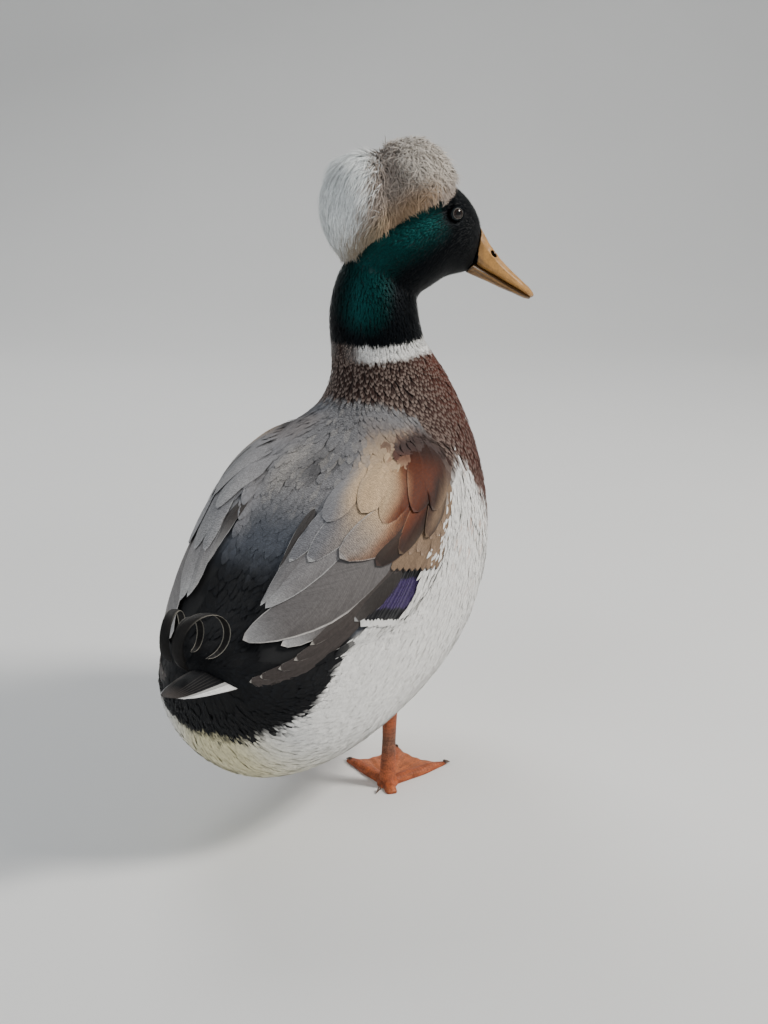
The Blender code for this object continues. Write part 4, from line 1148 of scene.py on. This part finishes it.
CURLS = {
    "tail_curl_right": ((-0.1911, -0.0019, 0.1561), 0.0230, -0.42),
    "tail_curl_middle": ((-0.1817, 0.0094, 0.1565), 0.0179, 0.05),
    "tail_curl_left": ((-0.1780, 0.0244, 0.1535), 0.0202, 0.25),
}
CURL_RINGS = 26
CURL_HALF = 0.0043              # half its width
CURL_START = math.radians(238)
CURL_SWEEP = math.radians(330)
curl_finish = feather_finish("curled tail plumage", 0.55, 0.0, 60, 0.14, 0.99, 0.66,
                             Specular_IOR_Level=0.10)
t = ring_places(CURL_RINGS)
angle = CURL_START - CURL_SWEEP * t


def curl_width(along):
    """A curl's width along it: soon full, then slowly narrowing to a blunt tip."""
    wide = np.clip(along / 0.06, 0, 1) ** 0.5 * (1 - 0.55 * along**2)
    return wide * np.clip((1 - along) / 0.05, 0, 1) ** 0.5



for i, (name, (root, size, lean)) in enumerate(CURLS.items()):
    radius = size * (1 - 0.42 * t)
    x, z = radius * np.cos(angle), radius * np.sin(angle)
    x, z = x - x[0], z - z[0]
    line = np.stack([root[0] + x, root[1] + lean * x, root[2] + z], 1) + ground
    outward = np.stack([np.cos(angle), 0 * t, np.sin(angle)], 1)
    colour = np.array([(0.013, 0.012, 0.0115)])
    mesh = slim_vanes(name + "_feather", line[None], outward[None], np.array([CURL_HALF]), 0.22,
                      curl_width, TAIL_COLUMNS,
                      (colour, np.array([(0.42, 0.39, 0.33)]), np.array([0.7]), np.array([0.0])),
                      flat_cells(1), 0.05, 73 + i)
    make_piece(name + "_feather", mesh, curl_finish, "tail_plumage", name)

# ------------------------------------------------------------------------------------- crest
# The crest is a puff of long soft feathers on a knob of skin at the back of the crown. They
# have loose barbs, so each is modelled as narrow curved tufts that fall from two partings.

def from_head(forward, left, up):
    """A point given as forward, left and up."""
    return head_origin + forward * head_way + left * head_left + up * UP


PARTINGS = (from_head(0.0060, 0.0030, 0.4860), from_head(0.0185, -0.0030, 0.4960))
CREST_STEPS = 5


def crest_way(points):
    """Direction in which the crest's tufts fall, before it is laid along the skin."""
    forward = to_head(points)[:, 0]
    front = ramp(forward, 0.008, 0.017)[:, None]
    return unit(points - PARTINGS[0]) * (1 - front) + unit(points - PARTINGS[1]) * front


crest_finish = feather_finish("crest down", 0.80, 0.15, 30, 0.06, 0.8, Specular_IOR_Level=0.15)
for name, seed, area in (("crest_rear", 81, to_head(points_of(skin_mesh))[:, 0] < 0.0095),
                         ("crest_front", 82, to_head(points_of(skin_mesh))[:, 0] >= 0.0095)):
    rng = np.random.default_rng(seed)
    roots = strewn(skin_mesh, np.full(len(place), 0.00100), on_crest & area, seed)
    spots = spots_at(roots)
    count = len(roots)
    forward = to_head(roots)[:, 0]
    frizz = ramp(forward, -0.012, 0.006)
    wild = (0.10 + 0.42 * frizz)[:, None]
    drift = rng.normal(0, 1, (count, 3)) * wild
    curl_phase = rng.uniform(0, 2 * math.pi, (count, 1))
    above = np.maximum(above_rim(roots), 0)
    length = np.minimum(0.0215 - 0.0085 * frizz, 0.90 * above + 0.0012) * rng.normal(1, 0.12, count)
    wisp = 1 + 0.9 * (rng.random(count) > 0.96)
    rise = 0.0012 + (0.0018 + 0.0032 * frizz) * ramp(length, 0.005, 0.015)
    up = to_head(roots)[:, 2]
    rise += 0.0048 * ramp(up, 0.472, 0.484) * ramp(-forward, 0.008, 0.020)
    rise = (rise * rng.normal(1, 0.12, count) * wisp)[:, None]
    base, out = settle(roots, skin_tree)
    line, outs, bases = [base + out * 0.0002], [out], [base]
    for i in range(1, CREST_STEPS + 1):
        way = crest_way(base) + drift
        way = way - (way * out).sum(1, keepdims=True) * out
        aside = unit(np.cross(out, way))
        way = unit(unit(way) + aside * 0.5 * wild * np.sin(curl_phase + 1.3 * i))
        base, new_out = settle(base + way * length[:, None] / CREST_STEPS, skin_tree)
        out = unit(0.55 * out + 0.45 * new_out)
        line.append(base + out * rise * (i / CREST_STEPS) ** 0.8)
        outs.append(out)
        bases.append(base)
    line, outs = np.stack(line, 1), np.stack(outs, 1)
    line[:, 1:-1] = (line[:, :-2] + 2 * line[:, 1:-1] + line[:, 2:]) / 4
    late = (np.arange(CREST_STEPS - 1) + 0.55) / (CREST_STEPS - 1)
    late = np.concatenate([[0], np.repeat(late, 3), [1]])[:, None]
    shift = rng.normal(0, 1, count)
    tones = [crest_colour(spots_at(bases[k]), shift)[:, None] for k in (0, 2, 5)]
    first, last = np.clip(1 - 2.5 * late, 0, 1), np.clip((late - 0.4) / 0.6, 0, 1)
    colour = tones[0] * first + tones[1] * (1 - first - last) + tones[2] * last
    colour = colour * rng.normal(1, 0.06, (count, 1, 1))
    local = to_head(roots) - np.array([0.008, 0, 0.45])
    spot = np.stack([0.5 + np.arctan2(local[:, 1], local[:, 0]) / (2 * math.pi) * 0.98,
                     0.5 + np.arctan2(local[:, 2], np.hypot(local[:, 0], local[:, 1])) / math.pi * 0.98], 1)
    slim = rng.normal(0.00046, 0.00006, count) * (1 - 0.4 * (wisp > 1))
    mesh = slim_vanes(name + "_feathers", line, outs, slim, 0.15, leaf(0.40, 0.7), 2,
                      (colour, np.clip(colour * 1.1, 0, 0.8), np.full(count, 0.4), np.zeros(count)),
                      (spot, BAKE_PATCH), 0.15, seed)
    make_piece(name + "_feathers", mesh, crest_finish, "crest_plumage")

# -------------------------------------------------------------------------------------- bill
# The bill is horn under a leathery skin: a flat, wide upper half with a nail at its tip and a
# nostril on either side near its base, closed on a slimmer lower half.

BILL_GRID = 0.00055
BILL_CLOSE = 0.0003             # each half swells this much, which closes the mouth
BILL_BASE = 0.0830
BILL_REACH = 0.0455
NOSTRIL = (0.0945, 0.4054)      # forward and up
OCHRE = (0.44, 0.225, 0.065)

bill_finish, add, join = new_finish("bill", 0.40, Specular_IOR_Level=0.45)
where = add("TexCoord").node.outputs["Object"]
mottle = add("TexNoise", where, Scale=260.0, Detail=5.0)
fleck = add("TexNoise", where, Scale=900.0, Detail=2.0)
tone = maths(add, "MULTIPLY", stepped(add, mottle, 0.25, 0.75, 0.80, 1.12),
             stepped(add, fleck, 0.3, 0.8, 1.05, 0.78))
horn = add("Attribute", attribute_name="horn")
join(mixed(add, 1.0, horn, tone, "MULTIPLY"), "Base Color")
join(stepped(add, add("RGBToBW", horn), 0.01, 0.08, 0.0, 0.45), "Specular IOR Level")
pores = add("Bump", Strength=0.25, Distance=0.0002).node
pores.id_data.links.new(maths(add, "ADD", mottle, fleck), pores.inputs["Height"])
join(pores.outputs[0], "Normal")
for node in ("bill_upper", "bill_lower"):
    mesh = gridded(node, BILL_GRID, [swollen(node, BILL_CLOSE)])
    relax(mesh, 3)
    points = points_of(mesh)
    local = to_head(points)
    share = np.clip((local[:, 0] - BILL_BASE) / BILL_REACH, 0, 1)
    level = 0.4258 - (local[:, 0] - 0.0775) * 1.03
    above = local[:, 2] - level
    colour = np.tile(OCHRE, (len(points), 1))
    push = np.zeros(len(points))
    if node == "bill_upper":
        off = np.stack([(local[:, 0] - NOSTRIL[0]) * 0.75 - (local[:, 2] - NOSTRIL[1]) * 0.66,
                        (local[:, 0] - NOSTRIL[0]) * 0.66 + (local[:, 2] - NOSTRIL[1]) * 0.75], 1)
        nostril = np.hypot(off[:, 0] / 0.0036, off[:, 1] / 0.0021)
        pit = (1 - ramp(nostril, 0.70, 1.05)) * ramp(np.abs(local[:, 1]), 0.0014, 0.0024)
        lip = ramp(nostril, 0.9, 1.2) * (1 - ramp(nostril, 1.2, 1.9))
        push += -0.0015 * pit + 0.00022 * lip
        nail = ramp(share, 0.84, 0.90) * (1 - ramp(np.abs(local[:, 1]), 0.0034, 0.0050))
        push += 0.00035 * nail
        culmen = ramp(above, -0.003, 0.004) * (1 - ramp(share, 0.55, 0.9))
        colour = tinted(colour, 0.35 * culmen, (0.30, 0.17, 0.06))
        colour = tinted(colour, 0.45 * nail, (0.23, 0.13, 0.065))
        # Painted shade: the nostril's pit is painted near black, for the shade inside it.
        colour = tinted(colour, ramp(pit, 0.05, 0.35), (0.004, 0.003, 0.002))
        colour = tinted(colour, 1 - ramp(local[:, 0], 0.0800, 0.0812), INK)
    else:
        colour *= 0.66
        slices = np.clip((local[:, 0] - BILL_BASE + 0.010) / 0.001, 0, 69).astype(int)
        edge = np.full(70, -1.0)
        np.maximum.at(edge, slices, above)
        below = 0.7 * (edge[slices] - above)
        stripe = ramp(below, 0.0006, 0.0011) * (1 - ramp(below, 0.0018, 0.0023))
        stripe += 0.7 * ramp(below, 0.0029, 0.0034) * (1 - ramp(below, 0.0040, 0.0046))
        colour = tinted(colour, 0.8 * stripe, (0.035, 0.020, 0.012))
    tip = ramp(share, 0.93, 1.0) * ramp(-local[:, 2], -0.3725, -0.3700)
    colour = tinted(colour, 0.9 * tip, (0.03, 0.022, 0.018))
    colour = tinted(colour, 0.35 * (1 - ramp(share, 0.0, 0.10)), (0.14, 0.09, 0.05))
    put_points(mesh, points + normals_of(mesh) * push[:, None])
    put_colour(mesh, "horn", colour)
    make_piece(node + "_horn", mesh, bill_finish, "bill", node)
    if node == "bill_upper":
        lore_spots = spots_at(strewn(mesh, np.full(len(points), 0.0007), local[:, 0] < 0.0811, 93))
        coat("lore_feathers", "head_plumage", hood_finish, lore_spots, head_unwrap, 0.0020,
             0.00040, (0.00005, 0.00040), 3, 2, leaf(0.52, 0.85), 0.15, 0.10, 0.05, 94,
             bed=tree_of(mesh))

# -------------------------------------------------------------------------------------- eyes
# Dark brown glass eyes, sunk in the head to their rims, each in a thin pale ring of lid.

EYE_RADIUS = 0.0058
GAZE_FORWARD = math.radians(12)
GAZE_UP = math.radians(6)
LID_OPENING = math.radians(39)  # half the angle that the lids leave open
LID_THICKNESS = 0.00022
LID_EDGE = math.radians(96)     # how far round the eyeball the lids reach
LID_BARE = math.radians(47)     # how far round they are bare



def mottled(add, scale, dark, light):
    """Two colours that run into each other in a fine grain."""
    grain = stepped(add, grained(add, scale, Detail=2.0), 0.3, 0.7)
    return mixed(add, grain, dark, light)


eye_finish, add, join = new_finish("eye", 0.06, Specular_IOR_Level=0.4, Coat_Weight=0.15,
                                   Coat_Roughness=0.02)
gaze_angle = add("Attribute", attribute_name="gaze").node.outputs["Fac"]
iris = mottled(add, 1500.0, (0.008, 0.0035, 0.002), (0.020, 0.008, 0.004))
inside = mixed(add, stepped(add, gaze_angle, 0.34, 0.38), (0.002, 0.002, 0.002), iris)
join(mixed(add, stepped(add, gaze_angle, 0.62, 0.72), inside, (0.006, 0.005, 0.005)), "Base Color")
lid_finish, add, join = new_finish("eyelid", 0.55)
join(mottled(add, 2500.0, (0.06, 0.052, 0.045), (0.15, 0.135, 0.118)), "Base Color")
# The lids' skin is dark, painted a little lighter than the hood's ink: painted sheen, to match the gleam of
# the feathers round it.
lid_skin_finish, add, join = new_finish("skin of the lids", 0.6, Specular_IOR_Level=0.3)
join(mottled(add, 2200.0, (0.006, 0.010, 0.012), (0.014, 0.022, 0.026)), "Base Color")


def turned(name, profile, axis, centre, around, closed, stretch=(1.0, 1.0)):
    """A shape turned round an axis from a profile of (distance from it, height along it)."""
    level = unit(np.cross(axis, UP))
    rise = np.cross(level, axis)
    angle = 2 * math.pi * np.arange(around) / around
    ring = stretch[0] * np.cos(angle)[:, None] * level + stretch[1] * np.sin(angle)[:, None] * rise
    points = [centre + radius * ring + height * axis for radius, height in profile]
    rows = len(points)
    faces = []
    for i in range(rows if closed else rows - 1):
        for j in range(around):
            a, b = i * around + j, i * around + (j + 1) % around
            c, d = ((i + 1) % rows) * around + j, ((i + 1) % rows) * around + (j + 1) % around
            faces += [(a, b, d), (a, d, c)]
    points = np.concatenate(points)
    if not closed:
        last = (rows - 1) * around
        points = np.concatenate([points, [centre + profile[0][1] * axis, centre + profile[-1][1] * axis]])
        for j in range(around):
            k = (j + 1) % around
            faces += [(k, j, len(points) - 2), (last + j, last + k, len(points) - 1)]
    return mesh_of(name, points, np.array(faces))


for name, spot in eye_spots.items():
    sign = 1 if name == "left" else -1
    gaze = unit(math.cos(GAZE_UP) * (math.cos(GAZE_FORWARD) * sign * head_left
                + math.sin(GAZE_FORWARD) * head_way) + math.sin(GAZE_UP) * UP)
    sweep = np.linspace(0.06, math.pi - 0.06, 30)
    ball = turned("eye_" + name, [(EYE_RADIUS * math.sin(a), EYE_RADIUS * math.cos(a)) for a in sweep],
                  gaze, np.array(spot), 40, False)
    along = (points_of(ball) - np.array(spot)) @ gaze / EYE_RADIUS
    put_number(ball, "gaze", np.sqrt(np.maximum(1 - along**2, 0)) + 2 * (along < 0))
    make_piece("eye_ball_" + name, ball, eye_finish, "eye", "eye_" + name)
    lid_radius, lid_height = EYE_RADIUS * math.sin(LID_OPENING), EYE_RADIUS * math.cos(LID_OPENING)
    rim_profile = [(lid_radius + LID_THICKNESS * (1.0 + 1.1 * math.cos(a)),
                    lid_height + LID_THICKNESS * (0.6 + 1.1 * math.sin(a) - 0.6 * math.cos(a)))
                   for a in np.linspace(2 * math.pi, 0, 12, endpoint=False)]
    rim = turned("lid_rim_" + name, rim_profile, gaze, np.array(spot), 44, True)
    make_piece("eyelid_rim_" + name, rim, lid_finish, "head_plumage")
    sweep = np.linspace(LID_OPENING + 0.06, LID_EDGE, 8)
    swell = EYE_RADIUS + 0.00045 * np.sin(np.linspace(0.6, math.pi, 8))
    outer = [(r * math.sin(a), r * math.cos(a)) for r, a in zip(swell, sweep)]
    under = [((EYE_RADIUS - 0.0002) * math.sin(a), (EYE_RADIUS - 0.0002) * math.cos(a))
             for a in sweep[::-1]]
    lid = turned("lid_" + name, under + outer, gaze, np.array(spot), 44, True)
    make_piece("eyelid_" + name, lid, lid_skin_finish, "head_plumage")
    off = points_of(lid) - np.array(spot)
    feathered = ((np.linalg.norm(off, axis=1) > EYE_RADIUS)
                 & (unit(off) @ gaze < math.cos(LID_BARE)))
    lid_spots = spots_at(strewn(lid, np.full(len(off), 0.00062), feathered, 91))
    coat("eyelid_feathers_" + name, "head_plumage", hood_finish, lid_spots, head_unwrap, 0.0017,
         0.00036, (0.00005, 0.00035), 3, 2, leaf(0.52, 0.85), 0.15, 0.10, 0.05, 92,
         bed=tree_of(lid))

# ---------------------------------------------------------------------------- legs and feet
# Bare orange shanks and webbed feet: overlapping plates down the front of the shank and along
# the toes, small pebbled scales elsewhere. The claws are separate pieces of dark horn.

FOOT_GRID = 0.0008
FOOT_JOIN = 0.0003              # leg and foot swell this much, so that they run into each other
PLATE = 0.0032                  # height of a plate
RUNG = 0.0029                   # length of a plate along a toe
TOE_JOINTS = (0.024, 0.043)     # how far out the toes' joints are
CLAW_RINGS = 6
CLAW_RING = 10                  # corners of a ring
FEET = {
    "right": ((-0.0040, -0.0540), (65, 21, -25)),
    "left": ((0.0060, 0.0520), (-40, 3, 45)),
}
TOE_LENGTHS = (0.0526, 0.0667, 0.0611)
ORANGE = (0.48, 0.115, 0.035)

foot_finish, add, join = new_finish("orange leg skin", 0.50, Specular_IOR_Level=0.4)
where = add("TexCoord").node.outputs["Object"]
cell = add("TexVoronoi", where, Scale=620.0, feature="DISTANCE_TO_EDGE")
grime = add("TexNoise", where, Scale=190.0, Detail=5.0)
pebble = stepped(add, cell, 0.0, 0.16)
# Painted shade: the pebbled scales darken towards their edges, between them; the grime is dirt.
tone = maths(add, "MULTIPLY", stepped(add, pebble, 0.0, 1.0, 0.55, 1.06),
             stepped(add, grime, 0.3, 0.72, 1.12, 0.66))
join(mixed(add, 1.0, add("Attribute", attribute_name="hide"), tone, "MULTIPLY"), "Base Color")
scales = add("Bump", Strength=0.6, Distance=0.0004).node
scales.id_data.links.new(maths(add, "MULTIPLY_ADD", grime, 0.3, pebble), scales.inputs["Height"])
join(scales.outputs[0], "Normal")
claw_finish, add, join = new_finish("claw horn", 0.35)
join(mixed(add, grained(add, 700.0), (0.045, 0.028, 0.020), (0.11, 0.065, 0.045)), "Base Color")

for name, (ankle, toe_turns) in FEET.items():
    solids = [swollen(node, FOOT_JOIN) for node in ("leg_" + name, "foot_" + name)]
    mesh = gridded("foot_" + name, FOOT_GRID, solids)
    relax(mesh, 3)
    points = points_of(mesh)
    normal = normals_of(mesh)
    centre = np.array([*ankle, 0.0]) + ground
    off = points - centre
    height = points[:, 2]
    shank = ramp(height, 0.0095, 0.0135)
    heel_way = np.array([math.cos(math.radians(toe_turns[1])), math.sin(math.radians(toe_turns[1])), 0])
    front = ramp(normal @ heel_way, -0.25, 0.35)
    plates = (height / PLATE) % 1.0
    groove = np.minimum(ramp(plates, 0.0, 0.22), 1 - ramp(plates, 0.93, 1.0))
    push = 0.00034 * (groove - 0.6) * shank * (0.35 + 0.65 * front)
    painted_groove_shade = (1 - groove) * shank
    reach = np.hypot(off[:, 0], off[:, 1])
    bearing = np.degrees(np.arctan2(off[:, 1], off[:, 0]))
    top = ramp(normal[:, 2], 0.1, 0.6) * (1 - shank)
    toe_near = np.zeros(len(points))
    for turn in toe_turns:
        off_toe = np.radians(bearing - turn)
        beside = reach * np.abs(np.sin(off_toe))
        near = (1 - ramp(beside, 0.0030, 0.0052)) * (np.cos(off_toe) > 0)
        toe_near = np.maximum(toe_near, near)
    rungs = (reach / RUNG) % 1.0
    rung = np.minimum(ramp(rungs, 0.0, 0.25), 1 - ramp(rungs, 0.92, 1.0))
    push += 0.00030 * (rung - 0.6) * top * toe_near
    painted_groove_shade = np.maximum(painted_groove_shade, 0.8 * (1 - rung) * top * toe_near)
    web = top * (1 - toe_near) * ramp(reach, 0.010, 0.020)
    folds = np.sin(np.radians(bearing) * 34 + 40 * reach)
    push += 0.00025 * folds * web
    joint = sum(np.exp(-((reach - out) / 0.004) ** 2) for out in TOE_JOINTS)
    push += 0.0006 * joint * toe_near * top
    colour = tinted(np.tile(ORANGE, (len(points), 1)), 0.5 * web, (0.60, 0.185, 0.060))
    grimy = np.exp(-((height - 0.037) / 0.012) ** 2) * shank
    colour = tinted(colour, 0.72 * grimy, (0.15, 0.085, 0.055))
    colour = tinted(colour, 0.35 * ramp(height, 0.047, 0.056), (0.42, 0.085, 0.028))
    # Painted shade: the grooves between the plates are darkened.
    colour *= 1 - 0.62 * painted_groove_shade[:, None]
    tip_dark = ramp(reach, 0.047, 0.064) * (1 - shank)
    colour = tinted(colour, 0.35 * tip_dark, (0.22, 0.09, 0.05))
    points = points + normal * push[:, None]
    points[:, 2] = np.maximum(points[:, 2], 0.0001)
    put_points(mesh, points)
    put_colour(mesh, "hide", colour)
    make_piece("leg_skin_" + name, mesh, foot_finish, "leg_skin", "leg_" + name, "foot_" + name)

    claw_points, claw_faces = [], []
    inner = 1 if name == "right" else -1
    toes = [(math.radians(turn), length, 0.0022) for turn, length in zip(toe_turns, TOE_LENGTHS)]
    toes.append((math.radians(toe_turns[1]) + math.pi - 0.35 * inner, 0.0160, 0.0017))
    for turn, length, thick in toes:
        way = np.array([math.cos(turn), math.sin(turn), 0.0])
        aside = np.array([-way[1], way[0], 0.0])
        start = len(claw_points)
        end = start + (CLAW_RINGS - 1) * CLAW_RING
        for i in range(CLAW_RINGS):
            share = i / (CLAW_RINGS - 1)
            middle = centre + way * (length - 0.0030 + 0.0062 * share)
            middle = middle + UP * (0.0028 - 0.0019 * share**1.6)
            thin = thick * (1 - 0.88 * share**1.3)
            for j in range(CLAW_RING):
                a = 2 * math.pi * j / CLAW_RING
                claw_points.append(middle + aside * thin * 0.8 * math.cos(a)
                                   + UP * thin * 0.85 * math.sin(a))
        for i in range(CLAW_RINGS - 1):
            for j in range(CLAW_RING):
                a = start + i * CLAW_RING + j
                b = start + i * CLAW_RING + (j + 1) % CLAW_RING
                claw_faces += [(a, b, b + CLAW_RING), (a, b + CLAW_RING, a + CLAW_RING)]
        for i in range(1, CLAW_RING - 1):
            claw_faces.append((start, start + i + 1, start + i))
            claw_faces.append((end, end + i, end + i + 1))
    claws = mesh_of("claws_" + name, np.array(claw_points), np.array(claw_faces))
    points = points_of(claws)
    points[:, 2] = np.maximum(points[:, 2], 0.0002)
    put_points(claws, points)
    make_piece("claws_" + name, claws, claw_finish, "leg_skin")

# ------------------------------------------------------------------------------------ studio
# A plain pale floor that sweeps up behind the bird, soft lamps and the camera. They aren't
# part of the object.

CAMERA_SPOT = ground + np.array([-0.981, -0.570, 0.564])
CAMERA_WAY = (0.883, 0.469)     # level direction of view
CAMERA_PITCH = math.radians(17)
CAMERA_LENS = 54.1              # on a sensor 36 mm along the frame's longer side
FLOOR_HALF = 3.0
SWEEP_RADIUS = 1.2

floor_shape = bmesh.new()
profile = [(-FLOOR_HALF, 0.0), (FLOOR_HALF - SWEEP_RADIUS, 0.0)]
profile += [(FLOOR_HALF - SWEEP_RADIUS + SWEEP_RADIUS * math.sin(a),
             SWEEP_RADIUS * (1 - math.cos(a))) for a in np.linspace(0.1, math.pi / 2, 14)]
profile.append((FLOOR_HALF, 3.5))
view_way = np.array([*CAMERA_WAY, 0.0])
view_side = np.array([-CAMERA_WAY[1], CAMERA_WAY[0], 0.0])
rows = []
for away, height in profile:
    rows.append([floor_shape.verts.new(away * view_way + aside * view_side + height * UP)
                 for aside in (-2 * FLOOR_HALF, 2 * FLOOR_HALF)])
for low, high in zip(rows, rows[1:]):
    floor_shape.faces.new((low[0], low[1], high[1], high[0]))
bmesh.ops.recalc_face_normals(floor_shape, faces=floor_shape.faces)
floor_mesh = bpy.data.meshes.new("floor")
floor_shape.to_mesh(floor_mesh)
floor_shape.free()
floor_mesh.shade_smooth()
floor_finish, add, join = new_finish("pale floor", 0.9)
join(mixed(add, grained(add, 3.0), (0.74, 0.74, 0.73), (0.78, 0.78, 0.77)), "Base Color")
floor_mesh.materials.append(floor_finish)
floor = bpy.data.objects.new("floor", floor_mesh)
bpy.context.scene.collection.objects.link(floor)


def lamp(name, spot, aim, size, power, tint):
    """A soft square lamp that points at a spot."""
    light = bpy.data.lights.new(name, "AREA")
    light.size = size
    light.energy = power
    light.color = tint
    thing = bpy.data.objects.new(name, light)
    bpy.context.scene.collection.objects.link(thing)
    thing.location = spot
    thing.rotation_euler = (Vector(aim) - Vector(spot)).to_track_quat("-Z", "Y").to_euler()


HEART = (0.0, 0.0, 0.25)
right_of_view = np.array([CAMERA_WAY[1], -CAMERA_WAY[0], 0.0])
lamp("key", 1.6 * right_of_view - 0.2 * view_way + 1.7 * UP, HEART, 0.5, 50, (1.0, 0.96, 0.90))
lamp("fill", -1.5 * right_of_view - 1.4 * view_way + 1.2 * UP, HEART, 1.6, 13, (0.92, 0.96, 1.0))
lamp("back", -0.6 * right_of_view + 1.6 * view_way + 1.8 * UP, HEART, 1.0, 20, (1.0, 1.0, 1.0))

world = bpy.data.worlds.new("studio")
bpy.context.scene.world = world
world.use_nodes = True
world.node_tree.nodes["Background"].inputs["Color"].default_value = (0.90, 0.95, 1.0, 1.0)
world.node_tree.nodes["Background"].inputs["Strength"].default_value = 0.36

camera_data = bpy.data.cameras.new("camera")
camera_data.lens = CAMERA_LENS
camera_data.sensor_width = 36.0
camera_data.clip_start = 0.05
camera = bpy.data.objects.new("camera", camera_data)
bpy.context.scene.collection.objects.link(camera)
camera.location = CAMERA_SPOT
look = Vector((*(math.cos(CAMERA_PITCH) * np.array(CAMERA_WAY)), -math.sin(CAMERA_PITCH)))
camera.rotation_euler = look.to_track_quat("-Z", "Y").to_euler()
bpy.context.scene.camera = camera
